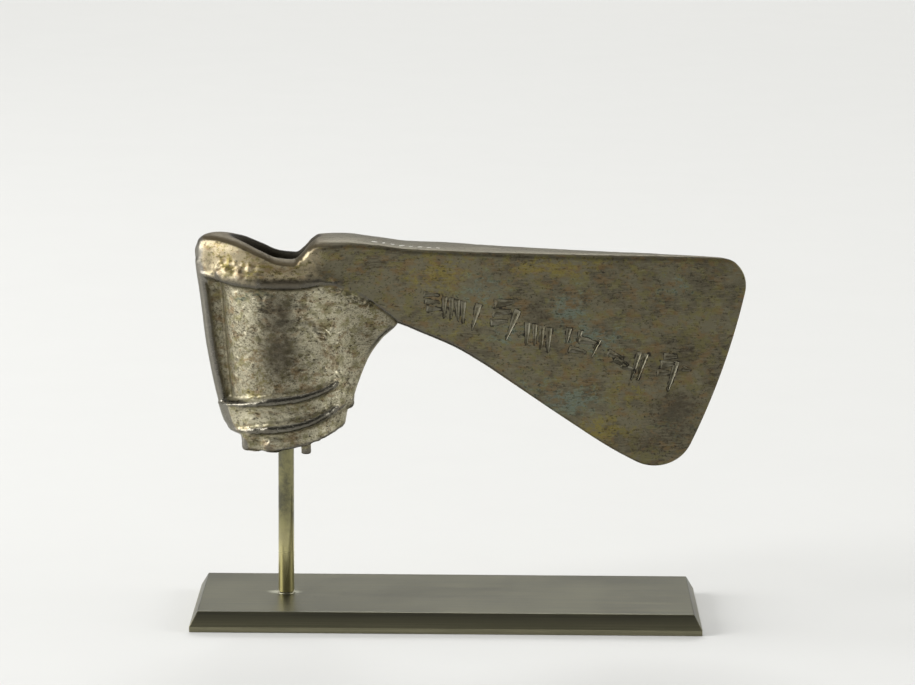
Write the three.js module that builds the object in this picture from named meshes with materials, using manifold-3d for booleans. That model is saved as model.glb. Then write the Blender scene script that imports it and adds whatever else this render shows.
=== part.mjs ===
// Bronze shaft-hole axe head with a long flared blade, held up by a brass rod on a bevelled base plate.
// Units are millimetres and +Z is up. The origin is the centre of the base plate's underside,
// +X runs towards the cutting edge, and the axe is the same on both sides of the plane y = 0.
import * as THREE from 'three';
import { mergeVertices } from 'three/addons/utils/BufferGeometryUtils.js';
import Module from 'manifold-3d';

const wasm = await Module();
wasm.setup();

// ---------- driving dimensions ----------

const PLATE = { length: 128, depth: 44, band: 1.4, bevel: 3.6, inset: 2 };
const PLATE_TOP = PLATE.band + PLATE.bevel;

const ROD = { x: -40.8, radius: 2, top: 62, gap: 0.3, chamfer: 0.3, sides: 32 };

// The socket is a tapered oval tube. Its middle line leans back a little, so each level has its own centre.
const SOCKET = {
  middle: -39,
  centreLow: -39.3,
  centreHigh: -42.6,
  zLow: 48,
  zHigh: 88,
  backLow: 13.2,
  backHigh: 14.4,
  depthLow: 11.4,
  depthHigh: 10.9,
  sides: 44,
};

// Levels of the socket: height at the middle, and how fast the level climbs towards the blade.
const LEVELS = {
  foot: { z: 44.4, slope: 0.1, lift: 0.016 },
  lowerRib: { z: 50.4, slope: 0.15, lift: 0.018 },
  upperRib: { z: 57.2, slope: 0.12, lift: 0.014 },
  top: { z: 90, slope: 0, lift: 0 },
};
const LEVEL_COUNT = { foot: 3, between: 3, tube: 9 };

// A rib stands half proud of the socket and sinks into the wall before it reaches the web in front.
const RIB = { radius: 1.15, sides: 8, fadeFrom: 0.55, fadeTo: 0.95 };

const HOLE = { lengthHalf: 10.4, widthHalf: 6.4, low: 38, high: 102, sides: 40 };

// The spine along the back of the socket: a thin web that carries a thicker rounded bead.
const SPINE = { webHalf: 1.9, beadHalf: 2.7, beadWidth: 1.55, top: 88, foot: 48.6, sides: 10 };

// The rim sits a little higher on the near side than on the far side.
const RIM_LEAN = 0.04;

const TAB_END = -63.4;
const NOTCH = { x: -13, z: 75.4 };
const EDGE_HALF = 0.35;
// How far the cutting edge bows out from a straight line between its two corners.
const EDGE_BOW = 2.1;
const BLADE_STATIONS = 30;
const COLLAR_STATIONS = 34;

const BRONZE = 0x675f45;
const BRASS = 0x9a8c52;
const BASE_BRONZE = 0x66624f;

// ---------- outlines, as smooth curves through the few points that shape them ----------

const curve = (points) => new THREE.SplineCurve(points.map(([x, z]) => new THREE.Vector2(x, z)));

// Height of the collar and of the blade's back along the axe: tab, dip of the rim, shoulder, long slope.
const CREST = [
  [-63.4, 93.2], [-62.2, 96], [-57.4, 97.5], [-52.4, 97], [-47, 94.9], [-42.5, 92.9], [-38.4, 92.3],
  [-35.6, 93.9], [-32.4, 96.3], [-26.5, 97.2], [-18, 96.2], [-10, 95.1], [0, 94.6], [30, 93.3], [62, 92.3],
];
const BACK_CORNER = [[62, 92.3], [67.5, 91.7], [71.3, 90.6], [73.6, 88.3], [74.4, 84.8]];
const BELLY = [[-13, 75.4], [-6.9, 72.8], [1, 69.4], [8.2, 65.2], [17.4, 59.0], [29.5, 50.8], [41.8, 42.9]];
const TIP_CORNER = [[41.8, 42.9], [48.2, 39.7], [53.6, 38.2], [57.2, 39.7], [60.2, 43.0]];

// Lower border of the collar: level behind, then down along the blade's shoulder to the notch.
const COLLAR_FOOT = [[-63.4, 87.2], [-50, 86.4], [-40, 85.6], [-30, 85.9], [-25, 84], [-19.7, 81], [-13, 75.4]];

// Half thickness of the slab at its lower border, from the collar to the tip.
const FOOT_HALF = [[-32, 11.3], [-25, 8.7], [-19.7, 6.2], [-16, 4.6], [-13, 3.4], [0, 2.4], [20, 1.5], [42, 1]];

// Front of the web below the blade, height by height.
const WEB_FRONT = [
  [-28.2, 44], [-26.1, 48.6], [-25, 52], [-23.6, 56], [-21.8, 61.3], [-19.6, 66.6], [-16.4, 71.2],
  [-12.9, 75.2], [-12, 79], [-11, 90],
];
const SPINE_LINE = [[-61.9, 90], [-61.2, 84], [-60.1, 75.5], [-58.7, 66], [-57.1, 57.5], [-55.4, 51.4], [-51.8, 48]];

// Half thickness of the collar and of the blade's back along the axe.
const BACK_HALF = [
  [-63.4, 1.6], [-62.6, 3.6], [-60.5, 5.4], [-57, 8.2], [-52, 10.5], [-46, 11.6], [-40, 11.8], [-32, 11.3],
  [-24, 10.3], [-12, 8.7], [0, 7.5], [30, 4.6], [62, 1.6], [74.4, EDGE_HALF],
];

// ---------- small maths ----------

const clamp01 = (t) => Math.min(1, Math.max(0, t));
const mix = (a, b, t) => a + (b - a) * t;
const smooth = (t) => clamp01(t) ** 2 * (3 - 2 * clamp01(t));

/** Value at key of a table of [key, value] rows, smoothed by a monotone cubic between the rows. */
function lookUp(table, key) {
  const last = table.length - 1;
  if (key <= table[0][0]) return table[0][1];
  if (key >= table[last][0]) return table[last][1];
  const i = table.findIndex((row) => row[0] > key) - 1;
  const slope = (k) => (table[k + 1][1] - table[k][1]) / (table[k + 1][0] - table[k][0]);
  const tangent = (k) => {
    if (k === 0) return slope(0);
    if (k === last) return slope(last - 1);
    const [before, after] = [slope(k - 1), slope(k)];
    return before * after <= 0 ? 0 : (2 * before * after) / (before + after);
  };
  const width = table[i + 1][0] - table[i][0];
  const t = (key - table[i][0]) / width;
  const rise = width * (tangent(i) * (t ** 3 - 2 * t ** 2 + t) + tangent(i + 1) * (t ** 3 - t ** 2));
  return mix(table[i][1], table[i + 1][1], t ** 2 * (3 - 2 * t)) + rise;
}

const swapped = (table) => table.map(([a, b]) => [b, a]);

// ---------- solids ----------

/** Closed skin over a row of rings of equal length, each end closed by a fan about the ring's middle. */
function loft(rings) {
  const count = rings[0].length;
  const points = rings.flat();
  const faces = [];
  for (let i = 0; i < rings.length - 1; i += 1) {
    for (let j = 0; j < count; j += 1) {
      const a = i * count + j;
      const b = i * count + ((j + 1) % count);
      faces.push(a, b, b + count, a, b + count, a + count);
    }
  }
  for (const [ring, flip] of [[0, true], [rings.length - 1, false]]) {
    const middle = rings[ring].reduce((sum, p) => sum.add(p), new THREE.Vector3()).divideScalar(count);
    const hub = points.push(middle) - 1;
    for (let j = 0; j < count; j += 1) {
      const a = ring * count + j;
      const b = ring * count + ((j + 1) % count);
      faces.push(...(flip ? [b, a, hub] : [a, b, hub]));
    }
  }
  const geometry = new THREE.BufferGeometry().setFromPoints(points);
  geometry.setIndex(faces);
  return geometry;
}

/** Turns a closed geometry into a manifold solid with its faces pointing out. */
function solid(geometry) {
  const bare = geometry.clone();
  bare.deleteAttribute('normal');
  bare.deleteAttribute('uv');
  const merged = mergeVertices(bare, 1e-4);
  const position = merged.attributes.position;
  const index = Array.from(merged.index.array);
  const corner = (k) => new THREE.Vector3().fromBufferAttribute(position, index[k]);
  const volume = index.reduce((sum, _, k) => (k % 3 ? sum : sum + corner(k).dot(corner(k + 1).cross(corner(k + 2)))), 0);
  if (volume < 0) {
    for (let k = 0; k < index.length; k += 3) [index[k + 1], index[k + 2]] = [index[k + 2], index[k + 1]];
  }
  const vertProperties = new Float32Array(position.array);
  return new wasm.Manifold(new wasm.Mesh({ numProp: 3, vertProperties, triVerts: new Uint32Array(index) }));
}

/** Geometry of a manifold solid. */
function geometryOf(body) {
  const { vertProperties, triVerts } = body.getMesh();
  const geometry = new THREE.BufferGeometry();
  geometry.setAttribute('position', new THREE.BufferAttribute(new Float32Array(vertProperties), 3));
  geometry.setIndex(new THREE.BufferAttribute(new Uint32Array(triVerts), 1));
  return geometry;
}

// ---------- socket ----------

/** Section of the socket at a height: an oval behind, drawn out into the web in front. */
function socketSection(z) {
  const t = (z - SOCKET.zLow) / (SOCKET.zHigh - SOCKET.zLow);
  const centre = mix(SOCKET.centreLow, SOCKET.centreHigh, t);
  const back = mix(SOCKET.backLow, SOCKET.backHigh, clamp01(t));
  const front = lookUp(swapped(WEB_FRONT), z) - centre;
  const depth = mix(SOCKET.depthLow, SOCKET.depthHigh, clamp01(t));
  const sharpness = 0.5 + 0.45 * clamp01(front / back - 1);
  return { centre, back, front, depth, sharpness };
}

/** Point of the socket's skin at an angle around it, angle 0 facing the blade, pushed out by proud. */
function socketPoint(angle, level, proud = 0) {
  let x = SOCKET.middle;
  let z = level.z;
  let y = 0;
  for (let pass = 0; pass < 4; pass += 1) {
    const { centre, back, front, depth, sharpness } = socketSection(z);
    const reach = Math.cos(angle);
    const side = Math.sin(angle);
    x = centre + (reach > 0 ? front + proud : back + proud) * reach;
    const share = reach > 0 ? (1 - reach ** 2) ** sharpness : Math.abs(side);
    y = Math.sign(side) * share * (depth + proud);
    z = level.z + level.slope * (x - SOCKET.middle) + level.lift * Math.max(0, x - SOCKET.middle) ** 2;
  }
  return new THREE.Vector3(x, y, z);
}

const around = (count) => Array.from({ length: count }, (_, j) => (j * 2 * Math.PI) / count);

const blendLevels = (a, b, t) => ({
  z: mix(a.z, b.z, t),
  slope: mix(a.slope, b.slope, t),
  lift: mix(a.lift, b.lift, t),
});

function socketTube() {
  const { foot, lowerRib, upperRib, top } = LEVELS;
  const levels = [];
  for (const [a, b, count] of [[foot, lowerRib, LEVEL_COUNT.foot], [lowerRib, upperRib, LEVEL_COUNT.between],
    [upperRib, top, LEVEL_COUNT.tube]]) {
    for (let i = 0; i < count; i += 1) levels.push(blendLevels(a, b, i / count));
  }
  levels.push(top);
  const inward = (i) => (i === 0 ? -0.7 : 0);
  return solid(loft(levels.map((level, i) => around(SOCKET.sides).map((a) => socketPoint(a, level, inward(i))))));
}

/** A round rib that runs about the socket on a level. */
function rib(level) {
  const sections = around(SOCKET.sides).map((angle) => {
    const foot = socketPoint(angle, level);
    const out = socketPoint(angle, level, 1).sub(foot).setZ(0).normalize();
    const fromFront = Math.min(angle, 2 * Math.PI - angle);
    const sunk = RIB.radius * 1.4 * (1 - smooth((fromFront - RIB.fadeFrom) / (RIB.fadeTo - RIB.fadeFrom)));
    return around(RIB.sides).map((turn) => foot.clone()
      .addScaledVector(out, RIB.radius * Math.cos(turn) - sunk)
      .add(new THREE.Vector3(0, 0, RIB.radius * Math.sin(turn))));
  });
  const points = sections.flat();
  const faces = [];
  for (let i = 0; i < sections.length; i += 1) {
    const next = (i + 1) % sections.length;
    for (let j = 0; j < RIB.sides; j += 1) {
      const k = (j + 1) % RIB.sides;
      const [a, b, c, d] = [i * RIB.sides + j, i * RIB.sides + k, next * RIB.sides + k, next * RIB.sides + j];
      faces.push(a, b, c, a, c, d);
    }
  }
  const geometry = new THREE.BufferGeometry().setFromPoints(points);
  geometry.setIndex(faces);
  return solid(geometry);
}

/** The spine's web, a thin plate between the socket and the bead. */
function spineWeb() {
  const line = curve(SPINE_LINE).getPoints(14);
  const shape = new THREE.Shape([...line, new THREE.Vector2(-45, SPINE.foot), new THREE.Vector2(-45, SPINE.top)]);
  const plate = new THREE.ExtrudeGeometry(shape, { depth: 2 * SPINE.webHalf, bevelEnabled: false });
  plate.rotateX(Math.PI / 2);
  plate.translate(0, SPINE.webHalf, 0);
  return solid(plate);
}

/** The bead along the spine's outer edge, oval in section and rounded off at its foot. */
function spineBead() {
  const path = curve(SPINE_LINE);
  const steps = 18;
  const rings = Array.from({ length: steps + 1 }, (_, i) => {
    const t = i / steps;
    const at = path.getPoint(t);
    const along = path.getTangent(t);
    const scale = Math.sqrt(1 - 0.92 * smooth((t - 0.85) / 0.15) ** 2);
    return around(SPINE.sides).map((turn) => new THREE.Vector3(
      at.x + along.y * SPINE.beadWidth * scale * Math.cos(turn),
      SPINE.beadHalf * scale * Math.sin(turn),
      at.y - along.x * SPINE.beadWidth * scale * Math.cos(turn),
    ));
  });
  return solid(loft(rings));
}

/** Casting lumps on the foot's rim and the short stub that hangs beside them. */
function footLumps() {
  const lumps = [
    { x: -48.2, y: -7.6, z: 46.4, size: [3.6, 2, 2.6] },
    { x: -43.2, y: -9.3, z: 45.8, size: [3.9, 1.9, 2.4] },
    { x: -45.5, y: 8.4, z: 46, size: [3.4, 2, 2.4] },
    { x: -35.3, y: -8.6, z: 45.4, size: [1.25, 1.2, 2.6] },
  ];
  return lumps.map(({ x, y, z, size }) => {
    const lump = new THREE.SphereGeometry(1, 10, 7);
    lump.rotateX(Math.PI / 2);
    lump.scale(...size);
    lump.translate(x, y, z);
    return solid(lump);
  });
}

function shaftHole() {
  const { zLow, zHigh, centreLow, centreHigh } = SOCKET;
  const rings = [HOLE.low, HOLE.high].map((z) => {
    const centre = mix(centreLow, centreHigh, (z - zLow) / (zHigh - zLow));
    return around(HOLE.sides).map((a) => new THREE.Vector3(
      centre + HOLE.lengthHalf * Math.cos(a),
      HOLE.widthHalf * Math.sin(a),
      z,
    ));
  });
  return solid(loft(rings));
}

// ---------- collar and blade, one loft from the tab to the cutting edge ----------

/** Height of the crown of the back over its two edges. */
const crownHeight = (x) => mix(2, 0.25, smooth((x + 30) / 90));

/**
 * Ring across the axe between a top point and a bottom point.
 * topHalf and footHalf are the half thicknesses at the back and at the lower border.
 */
function slabRing(top, foot, topHalf, footHalf, bow) {
  const crown = Math.min(crownHeight(top.x), 1.2 * topHalf);
  const down = new THREE.Vector2(foot.x - top.x, foot.y - top.y);
  const height = down.length();
  const roundTop = Math.min(0.9, topHalf * 0.5);
  const roundFoot = Math.min(1.1, footHalf * 0.7, height * 0.2);
  const profile = [[0, 0], [0.45 * topHalf, 0.18 * crown], [0.8 * topHalf, 0.6 * crown]];
  profile.push([topHalf - 0.3 * roundTop, crown + 0.3 * roundTop]);
  const sideSteps = 7;
  for (let i = 0; i <= sideSteps; i += 1) {
    const t = i / sideSteps;
    const belly = 0.35 * Math.sin(Math.PI * t) * clamp01(topHalf - footHalf);
    profile.push([mix(topHalf, footHalf, t) + belly, mix(crown + roundTop, height - roundFoot, t)]);
  }
  profile.push([footHalf - 0.35 * roundFoot, height - 0.3 * roundFoot]);
  const lean = smooth((SOCKET.middle + 22 - top.x) / 14) * smooth((top.x - TAB_END) / 12);
  const place = ([half, drop], sign) => {
    const t = drop / height;
    const bulge = bow * Math.sin(Math.PI * clamp01(t));
    const x = top.x + down.x * t + bulge * (-down.y / height);
    const z = top.y + down.y * t + bulge * (down.x / height) - RIM_LEAN * sign * half * lean;
    return new THREE.Vector3(x, sign * half, z);
  };
  const near = profile.map((row) => place(row, -1));
  const bottom = place([0, height], 1);
  const far = profile.slice(1).reverse().map((row) => place(row, 1));
  return [...near, bottom, ...far];
}

function collarAndBlade() {
  const rings = [];
  for (let i = 0; i < COLLAR_STATIONS; i += 1) {
    const t = i / COLLAR_STATIONS;
    const x = mix(TAB_END, NOTCH.x, t ** 1.15);
    const half = lookUp(BACK_HALF, x);
    const top = new THREE.Vector2(x, lookUp(CREST, x));
    const foot = new THREE.Vector2(x, lookUp(COLLAR_FOOT, x));
    rings.push(slabRing(top, foot, half, Math.min(half, lookUp(FOOT_HALF, x)), 0));
  }
  const backLine = curve([[NOTCH.x, 0], [10, 0], [36, 0], [62, 0]].map(([x]) => [x, lookUp(CREST, x)]));
  const backArc = curve(BACK_CORNER);
  const belly = curve(BELLY);
  const tipArc = curve(TIP_CORNER);
  const split = 0.8;
  const along = (line, arc, u) => (u < split ? line.getPoint(u / split) : arc.getPoint((u - split) / (1 - split)));
  for (let i = 0; i <= BLADE_STATIONS; i += 1) {
    const u = i / BLADE_STATIONS;
    const edge = 1 - smooth((u - 0.55) / 0.45);
    const top = along(backLine, backArc, u);
    const foot = along(belly, tipArc, u);
    const topHalf = Math.max(EDGE_HALF, lookUp(BACK_HALF, top.x) * mix(0.7, 1, edge));
    const footHalf = mix(EDGE_HALF, lookUp(FOOT_HALF, foot.x), edge);
    rings.push(slabRing(top, foot, topHalf, footHalf, EDGE_BOW * u ** 3));
  }
  return solid(loft(rings));
}

function axeHead() {
  const parts = [
    socketTube(), rib(LEVELS.lowerRib), rib(LEVELS.upperRib), spineWeb(), spineBead(), ...footLumps(),
  ];
  const body = parts.reduce((sum, part) => sum.add(part), collarAndBlade());
  return geometryOf(body.subtract(shaftHole()));
}

// ---------- stand ----------

function supportRod() {
  const { radius, top, gap, chamfer, sides } = ROD;
  const foot = PLATE_TOP + gap;
  const profile = [[0, foot], [radius, foot], [radius, top - chamfer], [radius - chamfer, top], [0, top]];
  const rod = new THREE.LatheGeometry(profile.map(([r, z]) => new THREE.Vector2(r, z)), sides);
  rod.rotateX(Math.PI / 2);
  rod.translate(ROD.x, 0, 0);
  return geometryOf(solid(rod));
}

function basePlate() {
  const ring = (inset, z) => {
    const x = PLATE.length / 2 - inset;
    const y = PLATE.depth / 2 - inset;
    return [[-x, -y], [x, -y], [x, y], [-x, y]].map(([a, b]) => new THREE.Vector3(a, b, z));
  };
  return geometryOf(solid(loft([ring(0, 0), ring(0, PLATE.band), ring(PLATE.inset, PLATE_TOP)])));
}

// ---------- the object ----------

function named(name, geometry, color, roughness, metalness) {
  const mesh = new THREE.Mesh(geometry, new THREE.MeshStandardMaterial({ color, roughness, metalness }));
  mesh.name = name;
  return mesh;
}

const group = new THREE.Group();
group.add(
  named('base_plate', basePlate(), BASE_BRONZE, 0.4, 1),
  named('support_rod', supportRod(), BRASS, 0.25, 1),
  named('axe_head', axeHead(), BRONZE, 0.45, 1),
);

export default group;
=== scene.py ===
"""Bronze shaft-hole axe head on its display stand.

The axe head is one casting: a collar with a saddle-shaped rim, a ribbed oval socket with a shaft hole, a
spine that carries a rounded bead, a web in front and a long flared blade. It is described as an implicit
solid, worked out from named sizes, and turned into a mesh. The stand is a brass rod soldered into a bevelled
base plate.

Sizes in the classes are millimetres, in the frame's own axes: x along the axe, y across it, z up.
"""

import enum
import logging
import math
from dataclasses import dataclass, field

import bmesh
import bpy
import numpy as np
from mathutils import Matrix, Vector

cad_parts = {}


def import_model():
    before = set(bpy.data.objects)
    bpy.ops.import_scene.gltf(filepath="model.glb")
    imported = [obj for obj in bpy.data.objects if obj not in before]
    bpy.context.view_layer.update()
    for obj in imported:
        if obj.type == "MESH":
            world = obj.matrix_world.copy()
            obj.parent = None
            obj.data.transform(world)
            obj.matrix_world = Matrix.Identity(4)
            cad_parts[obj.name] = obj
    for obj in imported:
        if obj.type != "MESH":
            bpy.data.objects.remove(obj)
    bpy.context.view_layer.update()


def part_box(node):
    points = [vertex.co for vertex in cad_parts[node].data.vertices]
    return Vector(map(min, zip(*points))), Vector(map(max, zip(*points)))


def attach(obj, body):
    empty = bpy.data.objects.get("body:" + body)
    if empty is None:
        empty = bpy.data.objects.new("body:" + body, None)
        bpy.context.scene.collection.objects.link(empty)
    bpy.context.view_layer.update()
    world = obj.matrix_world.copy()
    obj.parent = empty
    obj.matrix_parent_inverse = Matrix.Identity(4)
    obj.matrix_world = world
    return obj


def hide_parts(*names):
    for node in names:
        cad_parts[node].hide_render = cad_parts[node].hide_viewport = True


LOG = logging.getLogger("axe_head")
MM = 0.001
Table = tuple[tuple[float, float], ...]
Triple = tuple[float, float, float]
Terms = tuple[tuple[str, float], ...]
# Two places or heights between which something fades in, in either order.
Span = tuple[float, float]

# Places of the colour sockets on a Mix node, and of the float range on a Random Value node.
MIX_FACTOR, MIX_UNDER, MIX_OVER, MIX_RESULT = 0, 6, 7, 2
RANDOM_LOW, RANDOM_HIGH, RANDOM_RESULT = 2, 3, 1
# Place of the radius on a Curve Circle node, whose sockets have two of that name.
CIRCLE_RADIUS = 4
# How strongly each finer octave of a noise pattern shows.
NOISE_ROUGHNESS = 0.68
# These keep divisions finite: by a slope that vanishes, and by the slope of an oval at its very centre.
FLAT_SLOPE = 1e-6
OVAL_CORE = 1e-4


# ---------------------------------------------------------------------------------------------
# Arrays
# ---------------------------------------------------------------------------------------------


def smooth_step(low: float, high: float, value: np.ndarray) -> np.ndarray:
    """Goes smoothly from 0 at low to 1 at high, either way round."""
    t = np.clip((value - low) / (high - low), 0.0, 1.0)
    return t * t * (3.0 - 2.0 * t)


def blend(a: np.ndarray, b: np.ndarray, t: np.ndarray) -> np.ndarray:
    """Straight mix of a and b."""
    return a + (b - a) * t


def soft_union(a: np.ndarray, b: np.ndarray, fillet: float) -> np.ndarray:
    """Joins two solids with a fillet in the corner between them."""
    h = np.maximum(fillet - np.abs(a - b), 0.0) / fillet
    return np.minimum(a, b) - h * h * fillet * 0.25


def soft_cut(a: np.ndarray, b: np.ndarray, fillet: float) -> np.ndarray:
    """Keeps what is in both solids, with the edge between them eased."""
    return -soft_union(-a, -b, fillet)


def round_cut(a: np.ndarray, b: np.ndarray, radius: np.ndarray) -> np.ndarray:
    """Keeps what is in both solids, with the edge between them rounded to a radius.

    Args:
        a: Value of one solid.
        b: Value of the other.
        radius: Radius of the edge, in millimetres.

    Returns:
        Value of what is in both.
    """
    u = a + radius
    v = b + radius
    return np.minimum(np.maximum(u, v), 0.0) + np.hypot(np.maximum(u, 0.0), np.maximum(v, 0.0)) - radius


def oval(u: np.ndarray, v: np.ndarray, a: np.ndarray, b: np.ndarray) -> np.ndarray:
    """Distance-like value of an oval with half axes a and b."""
    ring = np.hypot(u / a, v / b)
    return ring * (ring - 1.0) / (np.hypot(u / (a * a), v / (b * b)) + OVAL_CORE)


class Profile:
    """A smooth curve through a few (key, value) rows."""

    SAMPLES = 800

    def __init__(self, rows: Table) -> None:
        """Fits a monotone cubic through the rows.

        Args:
            rows: Pairs of key and value, with the keys rising.
        """
        keys, values = np.array(rows, float).T
        steps = np.diff(values) / np.diff(keys)
        before, after = steps[:-1], steps[1:]
        same_way = before * after > 0
        middle = np.where(same_way, 2 * before * after / np.where(same_way, before + after, 1.0), 0.0)
        tangents = np.concatenate([steps[:1], middle, steps[-1:]])
        self.keys = np.linspace(keys[0], keys[-1], self.SAMPLES)
        i = np.clip(np.searchsorted(keys, self.keys, side="right") - 1, 0, len(keys) - 2)
        width = keys[i + 1] - keys[i]
        t = (self.keys - keys[i]) / width
        self.values = (
            values[i] * (2 * t**3 - 3 * t**2 + 1)
            + values[i + 1] * (3 * t**2 - 2 * t**3)
            + tangents[i] * width * (t**3 - 2 * t**2 + t)
            + tangents[i + 1] * width * (t**3 - t**2)
        )
        self.slopes = np.hypot(1.0, np.gradient(self.values, self.keys))

    def at(self, key: np.ndarray) -> np.ndarray:
        """Value of the curve at a key."""
        return np.interp(key, self.keys, self.values)

    def steepness(self, key: np.ndarray) -> np.ndarray:
        """Length of the curve for each unit of key, which turns a drop into a distance."""
        return np.interp(key, self.keys, self.slopes)


class Grain:
    """Smooth random relief on a lattice, from -1 to 1, the same on every run."""

    LATTICE = 32
    # Whole lattices added to a place to keep its cell numbers positive, and the shift between two layers.
    AHEAD = 64
    LAYER_SHIFT = 37.0

    def __init__(self, seed: int) -> None:
        """Draws the lattice from a fixed seed."""
        self.values = np.random.default_rng(seed).uniform(-1.0, 1.0, (self.LATTICE,) * 3)

    def at(self, points: np.ndarray, size: float) -> np.ndarray:
        """Relief at points.

        Args:
            points: Rows of x, y and z in millimetres.
            size: Width of one bump, in millimetres.

        Returns:
            One number for each point.
        """
        place = points / size + self.LATTICE * self.AHEAD
        cell = np.floor(place).astype(int)
        t = place - cell
        t = t * t * (3.0 - 2.0 * t)
        total = np.zeros(len(points))
        for corner in np.ndindex(2, 2, 2):
            weight = np.prod(np.where(corner, t, 1.0 - t), axis=1)
            i, j, k = ((cell + corner) % self.LATTICE).T
            total += weight * self.values[i, j, k]
        return total

    def layered(self, points: np.ndarray, size: float, layers: int = 3) -> np.ndarray:
        """Relief of several sizes added up, each layer half as wide and half as strong as the last."""
        return sum(self.at(points + self.LAYER_SHIFT * n, size / 2**n) / 2**n for n in range(layers))


# ---------------------------------------------------------------------------------------------
# Sizes of the axe head
# ---------------------------------------------------------------------------------------------


@dataclass(frozen=True)
class CollarSizes:
    """Collar about the socket's mouth and the back of the blade, which is one slab with it."""

    tab_radius: float = 5.5
    foot_radius: float = 1.2
    # Rounding of the tab's lower corner, and where it takes over from the foot's own.
    heel_radius: float = 4.0
    heel_span: Span = (-55.0, -60.0)
    # Slope of the rim from the near side up to the far side, and where it fades in front and behind.
    rim_lean: float = 0.04
    lean_front: Span = (-3.0, -17.0)
    lean_back: Span = (-63.0, -51.0)
    # How softly the crown turns down into the sides.
    crown_easing: Table = ((-64.0, 4.2), (-55.0, 4.0), (-48.0, 2.0), (-38.0, 1.4), (-20.0, 1.6), (76.0, 1.6))
    # Height of the crown along the axe: tab, dip of the rim, shoulder, long slope of the back.
    crest: Table = (
        (-64.4, 97.2), (-61.0, 97.5), (-57.4, 97.5), (-52.4, 96.7), (-47.0, 94.6), (-42.5, 92.8),
        (-38.6, 92.4), (-36.6, 93.7), (-34.6, 95.8), (-32.4, 97.0), (-26.5, 97.3), (-18.0, 96.3),
        (-10.0, 95.2), (0.0, 94.7), (30.0, 93.4), (62.0, 92.4), (68.0, 92.1), (78.0, 91.5),
    )
    # Lower border of the slab behind the notch.
    foot: Table = (
        (-64.4, 86.8), (-50.0, 85.6), (-40.0, 85.0), (-30.0, 85.8), (-25.0, 84.0), (-19.7, 81.0),
        (-12.0, 74.8),
    )
    back_half: Table = (
        (-63.6, 1.2), (-62.8, 3.3), (-61.0, 4.6), (-58.5, 6.0), (-56.0, 7.5), (-53.5, 8.8), (-51.0, 9.9),
        (-48.5, 10.7), (-46.0, 11.2), (-40.0, 11.4), (-32.0, 11.1), (-24.0, 10.3), (-12.0, 8.7), (0.0, 7.5),
        (30.0, 4.6), (62.0, 1.7), (76.0, 0.5),
    )
    # How far the back's crown falls from its middle to its sides.
    crown: Table = (
        (-64.0, 2.0), (-30.0, 2.0), (-12.0, 1.1), (0.0, 0.8), (30.0, 0.6), (62.0, 0.3), (76.0, 0.1),
    )
    crown_limit: float = 1.2
    # Rounded ridge above the collar's foot, and its radius.
    ridge: Table = ((-64.0, 87.4), (-53.0, 87.1), (-43.0, 86.5), (-31.0, 86.8), (-25.0, 84.6), (-12.0, 76.0))
    ridge_radius: Table = (
        (-60.0, -0.8), (-56.5, 0.5), (-52.0, 1.4), (-36.0, 1.2), (-30.0, -0.5), (-22.0, -4.0),
    )
    ridge_fillet: float = 4.0
    # How far the side is hollowed between the rim and that ridge.
    side_hollow: float = 0.4


@dataclass(frozen=True)
class BladeSizes:
    """Flared blade in front of the notch under the slab."""

    notch: float = -13.0
    # Lower border from the notch to the tip, drawn on past the tip's rounding.
    belly: Table = (
        (-14.0, 75.8), (-13.0, 75.4), (-6.9, 72.8), (1.0, 69.4), (8.2, 65.2), (17.4, 59.0), (29.5, 50.8),
        (41.8, 42.9), (50.0, 38.6), (64.0, 31.4),
    )
    foot_half: Table = (
        (-66.0, 2.4), (-62.5, 3.2), (-59.5, 4.8), (-56.0, 8.0), (-52.0, 10.2), (-46.0, 11.1), (-34.0, 11.1),
        (-25.0, 8.7), (-19.7, 6.2), (-16.0, 4.6), (-13.0, 3.4), (0.0, 2.4), (20.0, 1.5), (42.0, 1.0),
        (76.0, 0.5),
    )
    # How far the blade's faces swell, and where that takes over from the collar's hollow side.
    swell: float = 0.35
    swell_span: Span = (-24.0, -4.0)
    # The cutting edge is an arc, from which the faces thicken.
    edge_centre: tuple[float, float] = (-101.6, 120.6)
    edge_sweep: float = 180.0
    edge_half: float = 0.28
    edge_taper: float = 0.115
    edge_fillet: float = 0.6
    tip_radius: float = 10.4
    tip_span: Span = (20.0, 40.0)
    corner_radius: float = 8.9
    # Rounding along the border: on the collar, on the blade, where one becomes the other, and its limits
    # where the metal is thin.
    collar_border: float = 3.0
    border_radius: float = 0.9
    border_span: Span = (-34.0, -18.0)
    border_share: float = 0.75
    border_least: float = 0.15


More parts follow.
